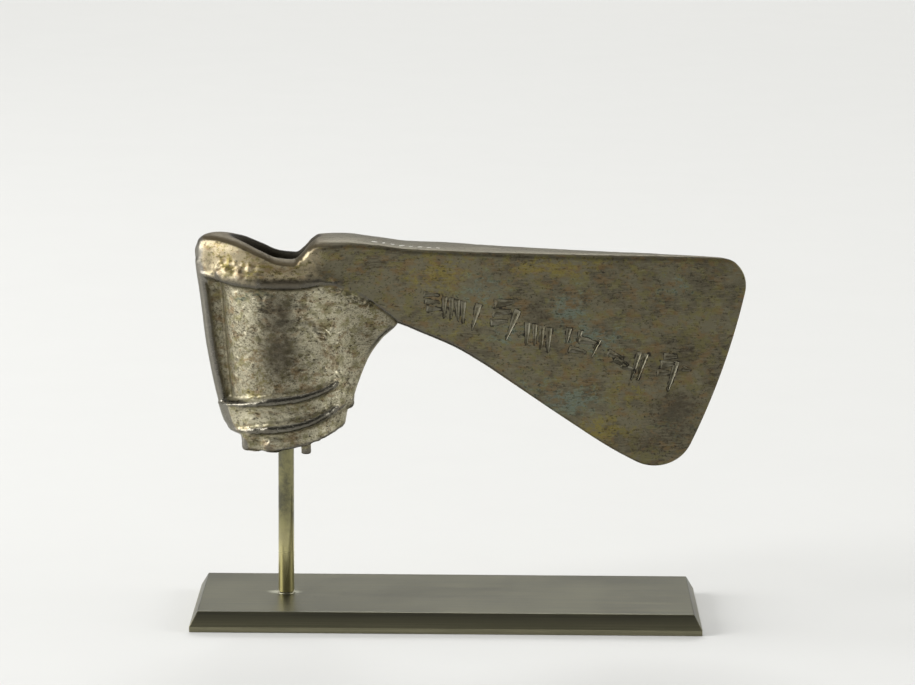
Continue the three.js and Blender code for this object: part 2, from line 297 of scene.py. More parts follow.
@dataclass(frozen=True)
class SocketSizes:
    """Tapered oval wall about the shaft hole, leaning back a little, with the web in front of it."""

    top: float = 86.6
    centre: Table = ((38.0, -38.5), (48.0, -39.3), (88.0, -42.6), (102.0, -43.8))
    back: Table = ((40.0, 12.9), (54.0, 14.5), (70.0, 14.8), (90.0, 14.8))
    front: Table = ((40.0, 11.2), (48.0, 11.7), (57.0, 13.2), (70.0, 14.4), (90.0, 14.4))
    depth: Table = ((40.0, 11.2), (48.0, 11.5), (60.0, 11.1), (88.0, 10.7))
    web_front: Table = (
        (40.0, -30.4), (48.6, -27.5), (52.0, -26.7), (56.0, -25.1), (61.3, -22.6), (66.6, -19.8),
        (71.2, -16.4), (75.2, -12.6), (80.0, -12.0), (92.0, -12.0),
    )
    web_start: float = -31.0
    web_fade: float = 0.07
    web_half: float = 2.4
    web_flare: float = 0.11
    web_radius: float = 1.9
    web_fillet: float = 9.0
    # Step between the web's face and the slab above it, and how far down the web is drawn out to meet it.
    ledge: float = 0.8
    ledge_fade: float = 6.0
    ledge_span: Span = (-38.0, -30.0)
    # Height over which the wall's back swells out to the spine, about the upper rib.
    swell_fade: float = 0.8
    # The neck is narrower than the wall, from just under the lower rib.
    neck_inset: float = 0.6
    neck_span: Span = (0.6, 2.0)
    foot_radius: float = 0.4
    hole_length_half: float = 10.4
    hole_width_half: float = 6.4
    mouth_easing: float = 1.5
    rib_easing: float = 0.7
    # Share of the ribs' radius along the axe; below zero there is no rib.
    rib_share: Table = (
        (-60.0, 0.3), (-54.0, 0.55), (-49.0, 0.9), (-44.0, 1.1), (-34.0, 1.0), (-29.0, 0.85), (-27.6, 0.4),
        (-26.6, -1.0), (-10.0, -1.0),
    )


@dataclass(frozen=True)
class Level:
    """A level about the socket: its height at the middle, how it climbs, and the radius of the rib on it."""

    height: float
    slope: float
    lift: float
    radius: float = 0.0
    middle: float = -39.0

    def climb(self, x: np.ndarray) -> np.ndarray:
        """Height of the level at a place along the axe."""
        ahead = np.maximum(x - self.middle, 0.0)
        return self.height + self.slope * (x - self.middle) + self.lift * ahead * ahead


@dataclass(frozen=True)
class SpineSizes:
    """Thin web behind the socket that carries a thicker rounded bead."""

    web_half: float = 1.8
    web_end: float = -46.0
    web_fillet: float = 0.8
    bead_half: Table = ((40.0, 2.5), (80.0, 2.7), (88.0, 3.0), (99.0, 3.0))
    bead_reach: float = 1.5
    top: float = 92.0
    top_easing: float = 2.0
    foot: float = 48.0
    # Fillet to the collar. Along the contour, where both coincide and would swell, there is almost none.
    collar_fillet: float = 2.8
    contour_fillet: float = 0.05
    contour_span: Span = (0.4, 3.4)
    # Hindmost contour of the axe head, from the neck up to the tab.
    line: Table = (
        (40.0, -52.0), (46.0, -52.8), (47.2, -53.9), (48.4, -55.3), (50.0, -56.4), (53.0, -57.4),
        (59.0, -58.9), (65.0, -60.1), (71.0, -61.1), (77.0, -61.8), (83.0, -62.55), (89.0, -63.4),
        (93.0, -63.7), (99.0, -63.7),
    )


@dataclass(frozen=True)
class Lump:
    """A lump left by the casting, set into the surface: round at a squareness of 2, like a block at 5."""

    centre: Triple
    size: Triple
    squareness: float = 2.0


@dataclass(frozen=True)
class AxeHeadSizes:
    """Everything that shapes the axe head."""

    collar: CollarSizes = field(default_factory=CollarSizes)
    blade: BladeSizes = field(default_factory=BladeSizes)
    socket: SocketSizes = field(default_factory=SocketSizes)
    spine: SpineSizes = field(default_factory=SpineSizes)
    foot: Level = Level(44.5, 0.14, 0.016)
    lower_rib: Level = Level(50.2, 0.15, 0.018, 1.1)
    upper_rib: Level = Level(57.2, 0.12, 0.014, 1.15)
    lumps: tuple[Lump, ...] = (
        Lump((-49.2, -5.2, 45.9), (2.4, 3.8, 2.6), 4.5),
        Lump((-43.6, -8.2, 45.6), (2.7, 2.7, 2.4), 2.4),
        Lump((-45.5, 8.2, 46.0), (3.4, 2.8, 2.4), 3.0),
        Lump((-24.6, -1.8, 54.8), (1.1, 1.4, 1.5)),
    )
    lump_fillet: float = 1.1
    # A short broken pin under the foot: its middle, its radius, its lower end and its length.
    pin_place: tuple[float, float] = (-35.3, -8.4)
    pin_radius: float = 1.2
    pin_end: float = 42.9
    pin_length: float = 4.0
    pin_rounding: float = 0.35
    pin_fillet: float = 0.5
    joint_fillet: float = 0.8


# ---------------------------------------------------------------------------------------------
# The implicit solid
# ---------------------------------------------------------------------------------------------


class AxeSolid:
    """The axe head as a distance-like value: negative inside the bronze, zero on its skin.

    Every method takes coordinates in millimetres, as arrays that broadcast against each other.
    """

    def __init__(self, sizes: AxeHeadSizes) -> None:
        """Prepares the profiles from the sizes.

        Args:
            sizes: Everything that shapes the axe head.
        """
        self.sizes = sizes
        collar, blade, socket, spine = sizes.collar, sizes.blade, sizes.socket, sizes.spine
        self.crest = Profile(collar.crest)
        self.collar_foot = Profile(collar.foot)
        self.back_half = Profile(collar.back_half)
        self.crown = Profile(collar.crown)
        self.crown_easing = Profile(collar.crown_easing)
        self.ridge = Profile(collar.ridge)
        self.ridge_radius = Profile(collar.ridge_radius)
        self.belly = Profile(blade.belly)
        self.foot_half = Profile(blade.foot_half)
        self.centre = Profile(socket.centre)
        self.back = Profile(socket.back)
        self.front = Profile(socket.front)
        self.depth = Profile(socket.depth)
        self.web_front = Profile(socket.web_front)
        self.rib_share = Profile(socket.rib_share)
        self.bead_half = Profile(spine.bead_half)
        self.spine_line = Profile(spine.line)

    def at(self, x: np.ndarray, y: np.ndarray, z: np.ndarray) -> np.ndarray:
        """Value of the whole axe head.

        Args:
            x: Places along the axe.
            y: Places across it.
            z: Heights.

        Returns:
            Distance-like value at each place, negative inside.
        """
        sizes, spine = self.sizes, self.sizes.spine
        inwards = smooth_step(*spine.contour_span, x - self.spine_line.at(z))
        fillet = spine.contour_fillet + spine.collar_fillet * inwards
        solid = soft_union(self.slab(x, y, z), self.spine(x, y, z), fillet)
        solid = soft_union(solid, self.socket(x, y, z), sizes.joint_fillet)
        for lump in sizes.lumps:
            power = lump.squareness
            reach = sum(
                np.abs((place - middle) / half) ** power
                for place, middle, half in zip((x, y, z), lump.centre, lump.size)
            )
            solid = soft_union(solid, (reach ** (1.0 / power) - 1.0) * min(lump.size), sizes.lump_fillet)
        pin = np.hypot(x - sizes.pin_place[0], y - sizes.pin_place[1]) - sizes.pin_radius
        ends = np.maximum(sizes.pin_end - z, z - sizes.pin_end - sizes.pin_length)
        solid = soft_union(solid, round_cut(pin, ends, sizes.pin_rounding), sizes.pin_fillet)
        return soft_cut(solid, -self.hole(x, y, z), sizes.socket.mouth_easing)

    def hole(self, x: np.ndarray, y: np.ndarray, z: np.ndarray) -> np.ndarray:
        """The shaft hole, negative inside it."""
        socket = self.sizes.socket
        return oval(x - self.centre.at(z), y, socket.hole_length_half, socket.hole_width_half)

    def slab(self, x: np.ndarray, y: np.ndarray, z: np.ndarray) -> np.ndarray:
        """Collar and blade, one slab from the tab to the cutting edge.

        Args:
            x: Places along the axe.
            y: Places across it.
            z: Heights.

        Returns:
            Distance-like value at each place, negative inside.
        """
        collar, blade = self.sizes.collar, self.sizes.blade
        crest = self.crest.at(x)
        behind = x < blade.notch
        foot = np.where(behind, self.collar_foot.at(x), self.belly.at(x))
        steepness = np.where(behind, self.collar_foot.steepness(x), self.belly.steepness(x))
        edge = np.hypot(x - blade.edge_centre[0], z - blade.edge_centre[1]) - blade.edge_sweep
        # The easing of the crown takes a quarter of itself off the top, so the top starts that much higher.
        easing = self.crown_easing.at(x)
        crest = crest + easing / 4.0
        above = (z - crest) / self.crest.steepness(x)
        outline = round_cut(above, self.spine_line.at(z) - x, collar.tab_radius)
        outline = round_cut(outline, edge, blade.corner_radius)
        corner = blend(collar.foot_radius, collar.heel_radius, smooth_step(*collar.heel_span, x))
        corner = blend(corner, blade.tip_radius, smooth_step(*blade.tip_span, x))
        outline = round_cut(outline, (foot - z) / steepness, corner)

        back_half = self.back_half.at(x)
        down = np.clip((crest - z) / (crest - foot), 0.0, 1.0)
        half = blend(back_half, np.minimum(back_half, self.foot_half.at(x)), down)
        bulge = np.sin(np.pi * down)
        half = half + bulge * blend(-collar.side_hollow, blade.swell, smooth_step(*blade.swell_span, x))
        half = soft_union(half, blade.edge_half - blade.edge_taper * edge, blade.edge_fillet)
        side = (np.abs(y) - half) / self.back_half.steepness(x)
        ridge = np.hypot(side, z - self.ridge.at(x)) - self.ridge_radius.at(x)
        border = blend(blade.collar_border, blade.border_radius, smooth_step(*blade.border_span, x))
        body = round_cut(outline, side, np.clip(blade.border_share * half, blade.border_least, border))

        over_socket = smooth_step(*collar.lean_front, x) * smooth_step(*collar.lean_back, x)
        across = np.clip(np.abs(y) / back_half, 0.0, collar.crown_limit)
        crown = z - crest + collar.rim_lean * y * over_socket + self.crown.at(x) * across**2
        body = soft_cut(body, crown / self.crest.steepness(x), easing)
        return soft_union(body, ridge, collar.ridge_fillet)

    def wall(self, x: np.ndarray, y: np.ndarray, z: np.ndarray) -> np.ndarray:
        """Outer face of the socket's tube joined to the web in front of it, without ribs.

        Args:
            x: Places along the axe.
            y: Places across it.
            z: Heights.

        Returns:
            Distance-like value at each place, negative inside.
        """
        sizes, socket = self.sizes, self.sizes.socket
        above = smooth_step(-socket.swell_fade, socket.swell_fade, z - sizes.upper_rib.climb(x))
        centre = self.centre.at(z)
        # Below the upper rib the wall swells back as far as the spine.
        back = blend(centre - self.spine_line.at(z), self.back.at(z), above)
        reach = np.where(x < centre, back, self.front.at(z))
        tube = oval(x - centre, y, reach, self.depth.at(z))

        ahead = self.web_front.at(z) - x
        half = socket.web_half + socket.web_flare * np.maximum(ahead, 0.0)
        drop = np.maximum(self.collar_foot.at(x) - z, 0.0) / socket.ledge_fade
        flush = self.foot_half.at(x) - socket.ledge
        under_slab = np.exp(-drop * drop) * smooth_step(*socket.ledge_span, x)
        half = half + np.maximum(flush - half, 0.0) * under_slab
        web = round_cut(np.abs(y) - half, -ahead, socket.web_radius)
        web = web + socket.web_fade * np.maximum(socket.web_start - x, 0.0) ** 2
        return soft_union(tube, web, socket.web_fillet)

    def socket(self, x: np.ndarray, y: np.ndarray, z: np.ndarray) -> np.ndarray:
        """Socket with its ribs and its narrower neck, cut off along the foot.

        Args:
            x: Places along the axe.
            y: Places across it.
            z: Heights.

        Returns:
            Distance-like value at each place, negative inside.
        """
        sizes, socket = self.sizes, self.sizes.socket
        wall = self.wall(x, y, z)
        below = sizes.lower_rib.climb(x) - z
        body = wall + socket.neck_inset * smooth_step(*socket.neck_span, below)
        share = self.rib_share.at(x)
        for level in (sizes.lower_rib, sizes.upper_rib):
            steepness = np.hypot(1.0, level.slope + 2.0 * level.lift * np.maximum(x - level.middle, 0.0))
            rib = np.hypot(wall, (z - level.climb(x)) / steepness) - level.radius * share
            body = soft_union(body, rib, socket.rib_easing)
        body = round_cut(body, sizes.foot.climb(x) - z, socket.foot_radius)
        return np.maximum(body, z - socket.top)

    def spine(self, x: np.ndarray, y: np.ndarray, z: np.ndarray) -> np.ndarray:
        """Web behind the socket and the bead along its back.

        Args:
            x: Places along the axe.
            y: Places across it.
            z: Heights.

        Returns:
            Distance-like value at each place, negative inside.
        """
        spine = self.sizes.spine
        line = self.spine_line.at(z)
        length = np.maximum(line + spine.bead_reach - x, x - spine.web_end)
        web = np.maximum(np.abs(y) - spine.web_half, length)
        bead = oval(x - line - spine.bead_reach, y, spine.bead_reach, self.bead_half.at(z))
        both = soft_cut(soft_union(web, bead, spine.web_fillet), z - spine.top, spine.top_easing)
        return np.maximum(both, spine.foot - z)

    def gradient(self, points: np.ndarray, step: float = 0.05) -> np.ndarray:
        """How the value rises about points, by central differences.

        Args:
            points: Rows of x, y and z in millimetres.
            step: Half the distance over which the rise is taken.

        Returns:
            One row of three slopes for each point.
        """
        rows = []
        for axis in np.eye(3) * step:
            rows.append(self.at(*(points + axis).T) - self.at(*(points - axis).T))
        return np.stack(rows, axis=1) / (2.0 * step)

    def bend(self, points: np.ndarray, reach: float = 0.8) -> np.ndarray:
        """How sharply the skin bends: positive on ridges, negative in hollows, about 1 on a rib.

        Args:
            points: Rows of x, y and z in millimetres.
            reach: Distance to the neighbours that are compared.

        Returns:
            One number for each point.
        """
        total = -6.0 * self.at(*points.T)
        for axis in np.eye(3) * reach:
            total += self.at(*(points + axis).T) + self.at(*(points - axis).T)
        return total / reach**2


# ---------------------------------------------------------------------------------------------
# From solid to mesh
# ---------------------------------------------------------------------------------------------


@dataclass
class SkinMesher:
    """Turns an implicit solid into a mesh by surface nets, on a grid that is finest at the middle plane."""

    solid: AxeSolid
    low: Triple = (-65.0, -13.8, 36.0)
    high: Triple = (76.0, 13.8, 98.6)
    step: float = 0.34
    layers: int = 90
    # How much finer the layers are at the middle plane, where the cutting edge is thin.
    crowding: float = 0.62
    slice_size: int = 24
    # Limits that keep a point steady while it settles onto the skin.
    least_slope: float = 0.3
    longest_move: float = 0.25

    def axes(self) -> list[np.ndarray]:
        """Coordinates of the grid's nodes along x, y and z.

        Returns:
            Three rising rows of places in millimetres.
        """
        t = np.linspace(-1.0, 1.0, self.layers)
        across = self.high[1] * (t * (1.0 - self.crowding) + self.crowding * t**3)
        return [np.arange(self.low[0], self.high[0], self.step), across,
                np.arange(self.low[2], self.high[2], self.step)]

    def values(self, axes: list[np.ndarray]) -> np.ndarray:
        """Value of the solid at every node, worked out in slices to stay small in memory.

        Args:
            axes: The grid's places along x, y and z.

        Returns:
            Grid of values.
        """
        x, y, z = np.meshgrid(*axes, indexing="ij", sparse=True)
        starts = range(0, len(x), self.slice_size)
        return np.concatenate([self.solid.at(x[i:i + self.slice_size], y, z) for i in starts])

    def surface(self) -> tuple[np.ndarray, np.ndarray]:
        """Builds the skin.

        Returns:
            Points in millimetres and the quads between them, facing outwards.
        """
        axes = self.axes()
        values = self.values(axes)
        inside = values < 0.0
        ends = [size - 1 for size in inside.shape]
        count = sum(
            inside[i:ends[0] + i, j:ends[1] + j, k:ends[2] + k].astype(int) for i, j, k in np.ndindex(2, 2, 2)
        )
        cells = np.argwhere((count > 0) & (count < 8))
        number = np.full(count.shape, -1)
        number[tuple(cells.T)] = np.arange(len(cells))

        total = np.zeros((len(cells), 3))
        hits = np.zeros((len(cells), 1))
        for axis in range(3):
            for j, k in np.ndindex(2, 2):
                start = np.insert(np.array([j, k]), axis, 0)
                a = cells + start
                b = a + np.eye(3, dtype=int)[axis]
                va, vb = values[tuple(a.T)], values[tuple(b.T)]
                crossed = (va < 0.0) != (vb < 0.0)
                t = np.where(crossed, va / np.where(crossed, va - vb, 1.0), 0.0)
                pa = np.stack([axes[n][a[:, n]] for n in range(3)], axis=1)
                pb = np.stack([axes[n][b[:, n]] for n in range(3)], axis=1)
                total += (pa + (pb - pa) * t[:, None]) * crossed[:, None]
                hits += crossed[:, None]
        points = total / hits

        quads = []
        for axis in range(3):
            turned = np.moveaxis(inside, axis, 0)
            crossings = np.argwhere(turned[:-1, 1:-1, 1:-1] != turned[1:, 1:-1, 1:-1]) + [0, 1, 1]
            leaving = turned[tuple(crossings.T)]
            order = [(-1, -1), (0, -1), (0, 0), (-1, 0)]
            ring = []
            for j, k in order:
                cell = crossings + [0, j, k]
                ring.append(number[tuple(np.insert(np.delete(cell, 0, 1), axis, cell[:, 0], axis=1).T)])
            ring = np.stack(ring, axis=1)
            # The two axes left over keep a right-handed order for x and z, and a left-handed one for y.
            flip = leaving == (axis == 1)
            ring[flip] = ring[flip][:, ::-1]
            quads.append(ring)
        return points, np.concatenate(quads)

    def settled(self, points: np.ndarray, rounds: int = 2) -> np.ndarray:
        """Moves points onto the solid's own skin.

        Args:
            points: Rows of x, y and z in millimetres.
            rounds: How often each point is moved.

        Returns:
            The moved points.
        """
        for _ in range(rounds):
            slope = self.solid.gradient(points)
            away = self.solid.at(*points.T) / np.maximum((slope**2).sum(axis=1), self.least_slope)
            points = points - slope * np.clip(away, -self.longest_move, self.longest_move)[:, None]
        return points


# ---------------------------------------------------------------------------------------------
# Relief and zones of the cast surface
# ---------------------------------------------------------------------------------------------


class Zone(enum.Enum):
    """Masks that are stored on the axe head's points for its finish."""

    POLISH = "polish"
    BEAD = "bead"
    HOLLOW = "hollow"
    SOCKET = "socket"
    COLLAR = "collar"
    BATTERED = "battered"
    VERDIGRIS = "verdigris"
    OCHRE = "ochre"
    # Dark grey patina, and a painted dark reflection down the socket's middle and along the collar's ridge.
    SLATE = "slate"
    CROWN = "crown"
    INSIDE = "inside"
    STROKE = "stroke"


@dataclass(frozen=True)
class Patch:
    """A soft oval patch on the side of the axe head, by its place, its half sizes and its strength."""

    x: float
    z: float
    half_x: float
    half_z: float
    strength: float = 1.0


@dataclass(frozen=True)
class Fringe:
    """A row of small lumps on the skin: its ends in the side view, its width and its height."""

    start: tuple[float, float]
    end: tuple[float, float]
    width: float
    height: float


@dataclass(frozen=True)
class SurfaceSizes:
    """Casting relief, damage, patches of patina, and patches of painted dark reflection on the socket and the
    collar's ridge.
    """

    swell_size: float = 8.0
    swell_height: float = 0.09
    swell_seed: int = 11
    grit_size: float = 1.4
    grit_height: float = 0.12
    grit_seed: int = 23
    pit_size: float = 1.25
    pit_height: float = 0.3
    pit_level: float = 0.55
    pit_seed: int = 47
    # How rough the skin is on the blade, how much more on the socket, and the most it gets.
    rough_blade: float = 0.25
    rough_socket: float = 0.45
    rough_most: float = 1.4
    # The relief fades out towards the thin middle plane, and on the bead it is this much weaker.
    relief_span: Span = (0.6, 2.0)
    bead_calm: float = 0.85
    # Where the socket's skin starts, below the collar's foot and behind the blade.
    socket_drop: Span = (0.8, -0.6)
    socket_front: Span = (-11.0, -14.0)
    collar_front: Span = (-20.0, -36.0)
    # Depth of the bead from the contour, and how softly it ends along the spine and up on the tab.
    bead_depth: float = 2.8
    bead_fade: Span = (0.6, 2.4)
    bead_top: Span = (86.0, 90.0)
    # A casting flaw like a small leaf with a raised rim, on the near side only.
    flaw_centre: tuple[float, float] = (-31.5, 73.4)
    flaw_half: tuple[float, float] = (2.5, 1.3)
    flaw_angle: float = -34.0
    flaw_height: float = 1.4
    flaw_groove: float = 0.3
    flaw_rim: Span = (1.2, 0.4)
    flaw_point: float = 1.5
    flaw_dip: float = 0.6
    flaw_side: float = -3.0
    flaw_clearing: float = 0.3
    # How much barer the metal is on the flaw, and from which height.
    flaw_wear: float = 1.6
    flaw_worn: Span = (0.1, 0.4)
    # Rows of small casting lumps: along the start of the groove under the slab, and above the collar's ridge.
    fringes: tuple[Fringe, ...] = (
        Fringe((-28.0, 84.4), (-19.5, 80.4), 0.9, 1.1),
        Fringe((-59.6, 88.4), (-55.0, 89.6), 1.4, 0.38),
        Fringe((-55.0, 89.8), (-48.0, 89.6), 1.5, 0.36),
    )
    # Width of one lump, and the part of its height that is fixed and the part that varies.
    fringe_size: float = 1.3
    fringe_base: float = 0.3
    fringe_vary: float = 1.3
    # Bends and slopes that count as a ridge, a hollow, the hole's wall and the crown.
    ridge_bend: Span = (0.22, 0.75)
    ridge_side: Span = (1.0, 2.2)
    ridge_drop: Span = (-2.5, -5.0)
    hollow_bend: Span = (-0.12, -0.7)
    inside_span: Span = (1.8, 0.4)
    crown_slope: Span = (0.3, 0.75)
    crown_height: float = 88.0
    patch_falloff: float = 0.7
    # The far face has the same kinds of patch in other places.
    far_side_shift: tuple[float, float] = (11.0, -3.0)
    patches: dict[Zone, tuple[Patch, ...]] = field(default_factory=lambda: {
        Zone.BATTERED: (
            Patch(-32.5, 77.0, 5.0, 7.0), Patch(-28.0, 61.0, 4.5, 6.5, 0.8),
            Patch(-54.0, 89.0, 6.0, 3.0, 0.6), Patch(-46.5, 50.5, 5.5, 4.0), Patch(-31.0, 47.6, 3.5, 2.0),
            Patch(-46.0, 80.0, 4.0, 5.0, 0.6), Patch(-56.0, 50.0, 4.0, 4.0, 0.7),
        ),
        Zone.VERDIGRIS: (
            Patch(8.1, 85.3, 7.0, 5.0, 0.8), Patch(30.0, 79.6, 5.0, 4.5), Patch(36.0, 72.0, 8.5, 4.0, 0.9),
            Patch(31.0, 55.5, 8.5, 4.5), Patch(14.5, 73.0, 6.0, 3.0, 0.7), Patch(57.0, 84.9, 5.5, 5.0, 0.6),
            Patch(-46.6, 82.3, 5.0, 3.0, 0.7), Patch(22.0, 60.0, 6.0, 3.0, 0.6),
            Patch(58.0, 50.0, 8.0, 6.0, 0.6),
        ),
        # Dark grey patina; the patches at x about -42 down the socket's middle and the long flat one on the
        # collar's ridge are a painted dark reflection.
        Zone.SLATE: (
            Patch(22.0, 77.8, 5.0, 4.5), Patch(57.5, 53.5, 8.0, 6.0, 1.2), Patch(59.5, 66.5, 4.0, 6.0, 0.9),
            Patch(-13.0, 84.0, 8.0, 4.0, 0.6), Patch(50.0, 45.0, 8.0, 4.0, 0.9),
            Patch(-42.5, 78.0, 5.8, 8.0, 1.25), Patch(66.0, 60.0, 4.0, 8.0, 0.8),
            Patch(26.0, 54.0, 4.0, 3.0, 0.5), Patch(-42.0, 69.0, 6.0, 9.0, 1.2),
            Patch(-20.5, 72.0, 4.0, 4.0, 0.9), Patch(-24.5, 62.0, 3.0, 6.0, 0.8),
            Patch(-46.0, 46.0, 6.0, 2.0, 0.6), Patch(60.0, 48.0, 6.0, 6.0), Patch(-41.0, 86.4, 9.0, 1.5, 1.5),
        ),
        Zone.OCHRE: (
            Patch(-1.0, 88.0, 9.0, 4.5), Patch(38.5, 48.5, 9.0, 4.0, 0.9), Patch(25.5, 90.0, 16.0, 2.2),
            Patch(-46.0, 90.5, 9.0, 3.0, 0.8), Patch(-46.0, 60.0, 6.0, 3.5, 0.6),
            Patch(5.0, 75.0, 8.0, 4.0, 0.5), Patch(-55.0, 92.0, 5.0, 3.5, 0.9),
            Patch(46.0, 58.0, 10.0, 5.0, 0.5),
        ),
    })


class CastSurface:
    """Relief of the bronze skin, and the masks that its finish reads."""

    def __init__(self, solid: AxeSolid, sizes: SurfaceSizes) -> None:
        """Draws the random relief from fixed seeds.

        Args:
            solid: Solid that carries the relief.
            sizes: Sizes of the relief.
        """
        self.solid = solid
        self.sizes = sizes
        self.swell = Grain(sizes.swell_seed)
        self.grit = Grain(sizes.grit_seed)
        self.pits = Grain(sizes.pit_seed)

    def socket_share(self, points: np.ndarray) -> np.ndarray:
        """1 on the socket and the web, 0 on the slab.

        Args:
            points: Rows of x, y and z in millimetres.

        Returns:
            One number from 0 to 1 for each point.
        """
        x, _, z = points.T
        below = smooth_step(*self.sizes.socket_drop, z - self.solid.collar_foot.at(x))
        return below * smooth_step(*self.sizes.socket_front, x)

    def collar_share(self, points: np.ndarray) -> np.ndarray:
        """1 on the collar, fading where the slab becomes the blade."""
        return (1.0 - self.socket_share(points)) * smooth_step(*self.sizes.collar_front, points[:, 0])

    def patches(self, points: np.ndarray, zone: Zone) -> np.ndarray:
        """Strength of a zone's patches at points.

        Args:
            points: Rows of x, y and z in millimetres.
            zone: Zone whose patches count.

        Returns:
            Strength at each point, 0 away from the patches.
        """
        x, y, z = points.T
        shift_x, shift_z = self.sizes.far_side_shift
        far = y > 0.0
        x = np.where(far, x - shift_x, x)
        z = np.where(far, z - shift_z, z)
        total = np.zeros(len(points))
        for patch in self.sizes.patches[zone]:
            distance = ((x - patch.x) / patch.half_x) ** 2 + ((z - patch.z) / patch.half_z) ** 2
            total = np.maximum(total, patch.strength * np.exp(-self.sizes.patch_falloff * distance))
        return total

    def bead_share(self, points: np.ndarray) -> np.ndarray:
        """1 on the bead behind the socket and on the tab's end above it.

        Args:
            points: Rows of x, y and z in millimetres.

        Returns:
            One number from 0 to 1 for each point.
        """
        sizes = self.sizes
        x, _, z = points.T
        fade = blend(*sizes.bead_fade, smooth_step(*sizes.bead_top, z))
        return smooth_step(sizes.bead_depth + fade, sizes.bead_depth - fade, x - self.solid.spine_line.at(z))

    def flaw(self, points: np.ndarray) -> np.ndarray:
        """Height of the leaf-like casting flaw.

        Args:
            points: Rows of x, y and z in millimetres.

        Returns:
            Height at each point, in millimetres.
        """
        sizes = self.sizes
        x, y, z = points.T
        turn = math.radians(sizes.flaw_angle)
        u, v = x - sizes.flaw_centre[0], z - sizes.flaw_centre[1]
        along = (u * math.cos(turn) + v * math.sin(turn)) / sizes.flaw_half[0]
        across = (v * math.cos(turn) - u * math.sin(turn)) / sizes.flaw_half[1]
        leaf = smooth_step(*sizes.flaw_rim, np.sqrt(np.abs(along) ** sizes.flaw_point + across**2))
        groove = np.exp(-((across / sizes.flaw_groove) ** 2))
        return sizes.flaw_height * leaf * (1.0 - sizes.flaw_dip * groove) * (y < sizes.flaw_side)

    def fringe(self, points: np.ndarray) -> np.ndarray:
        """Height of the rows of small lumps.

        Args:
            points: Rows of x, y and z in millimetres.

        Returns:
            Height at each point, in millimetres.
        """
        sizes = self.sizes
        lumps = sizes.fringe_base + sizes.fringe_vary * self.pits.at(points, sizes.fringe_size)
        total = np.zeros(len(points))
        for row in sizes.fringes:
            start = np.array(row.start)
            way = np.array(row.end) - start
            place = points[:, ::2] - start
            t = np.clip(place @ way / (way @ way), 0.0, 1.0)
            distance = np.hypot(*(place - t[:, None] * way).T)
            total += row.height * np.exp(-((distance / row.width) ** 2)) * lumps
        return total

    def relief(self, points: np.ndarray) -> np.ndarray:
        """Height of the relief above the plain solid, in millimetres.

        Args:
            points: Rows of x, y and z in millimetres.

        Returns:
            Height at each point.
        """
        sizes = self.sizes
        rough = sizes.rough_blade + sizes.rough_socket * self.socket_share(points)
        rough = np.clip(rough + self.patches(points, Zone.BATTERED), 0.0, sizes.rough_most)
        thin = smooth_step(*sizes.relief_span, np.abs(points[:, 1]))
        thin *= 1.0 - sizes.bead_calm * self.bead_share(points)
        height = sizes.swell_height * self.swell.layered(points, sizes.swell_size, 2)
        height += sizes.grit_height * rough * self.grit.layered(points, sizes.grit_size, 2)
        pits = np.maximum(self.pits.layered(points, sizes.pit_size, 2) - sizes.pit_level, 0.0)
        height -= sizes.pit_height * rough * pits
        flaw = self.flaw(points)
        thin *= smooth_step(sizes.flaw_clearing, 0.0, np.abs(flaw))
        return height * thin + flaw + self.fringe(points)

    def masks(self, points: np.ndarray) -> dict[Zone, np.ndarray]:
        """Every zone's mask at points, but for the strokes, which are cut later.

        Args:
            points: Rows of x, y and z in millimetres.

        Returns:
            Values of each zone, one for each point, 0 where the zone is absent.
        """
        sizes = self.sizes
        bend = self.solid.bend(points)
        slope = self.solid.gradient(points)
        upward = slope[:, 2] / np.maximum(np.linalg.norm(slope, axis=1), FLAT_SLOPE)
        x, y, z = points.T
        bead = self.bead_share(points)
        masks = {zone: self.patches(points, zone) for zone in sizes.patches}
        under = smooth_step(*sizes.ridge_drop, z - self.solid.crest.at(x))
        ridges = smooth_step(*sizes.ridge_bend, bend) * smooth_step(*sizes.ridge_side, np.abs(y)) * under
        masks[Zone.POLISH] = ridges * (1.0 - bead)
        masks[Zone.BEAD] = bead
        masks[Zone.HOLLOW] = smooth_step(*sizes.hollow_bend, bend)
        # The shaft hole's inside, which the finish paints near black as shade over darker corroded metal.
        masks[Zone.INSIDE] = smooth_step(*sizes.inside_span, self.solid.hole(*points.T))
        masks[Zone.CROWN] = smooth_step(*sizes.crown_slope, upward) * (z > sizes.crown_height)
        masks[Zone.BATTERED] += sizes.flaw_wear * smooth_step(*sizes.flaw_worn, self.flaw(points))
        masks[Zone.SOCKET] = self.socket_share(points)
        masks[Zone.COLLAR] = self.collar_share(points)
        return masks


# ---------------------------------------------------------------------------------------------
# Node trees and finishes
# ---------------------------------------------------------------------------------------------


def add_node(
    tree: bpy.types.NodeTree, kind: str, inputs: dict | None = None, **settings: object,
) -> bpy.types.Node:
    """Adds a node with its settings and its links.

    Args:
        tree: Tree that gets the node.
        kind: Name of the node's type.
        inputs: For each input, by name or place, the socket that feeds it or its own value.
        **settings: Properties of the node.

    Returns:
        The new node.
    """
    node = tree.nodes.new(kind)
    for name, value in settings.items():
        setattr(node, name, value)
    for key, value in (inputs or {}).items():
        if isinstance(value, bpy.types.NodeSocket):
            tree.links.new(value, node.inputs[key])
        else:
            node.inputs[key].default_value = value
    return node


def linear(colour: str) -> tuple[float, float, float, float]:
    """Turns an sRGB hex colour into the linear colour that shaders take."""
    parts = [int(colour[i:i + 2], 16) / 255.0 for i in (1, 3, 5)]
    return (*(c / 12.92 if c <= 0.04045 else ((c + 0.055) / 1.055) ** 2.4 for c in parts), 1.0)


@dataclass(frozen=True)
class Layer:
    """One layer of a finish, laid over the ones before it where its mask is."""

    mask: str
    colour: str
    roughness: float
    metallic: float
    amount: float = 1.0


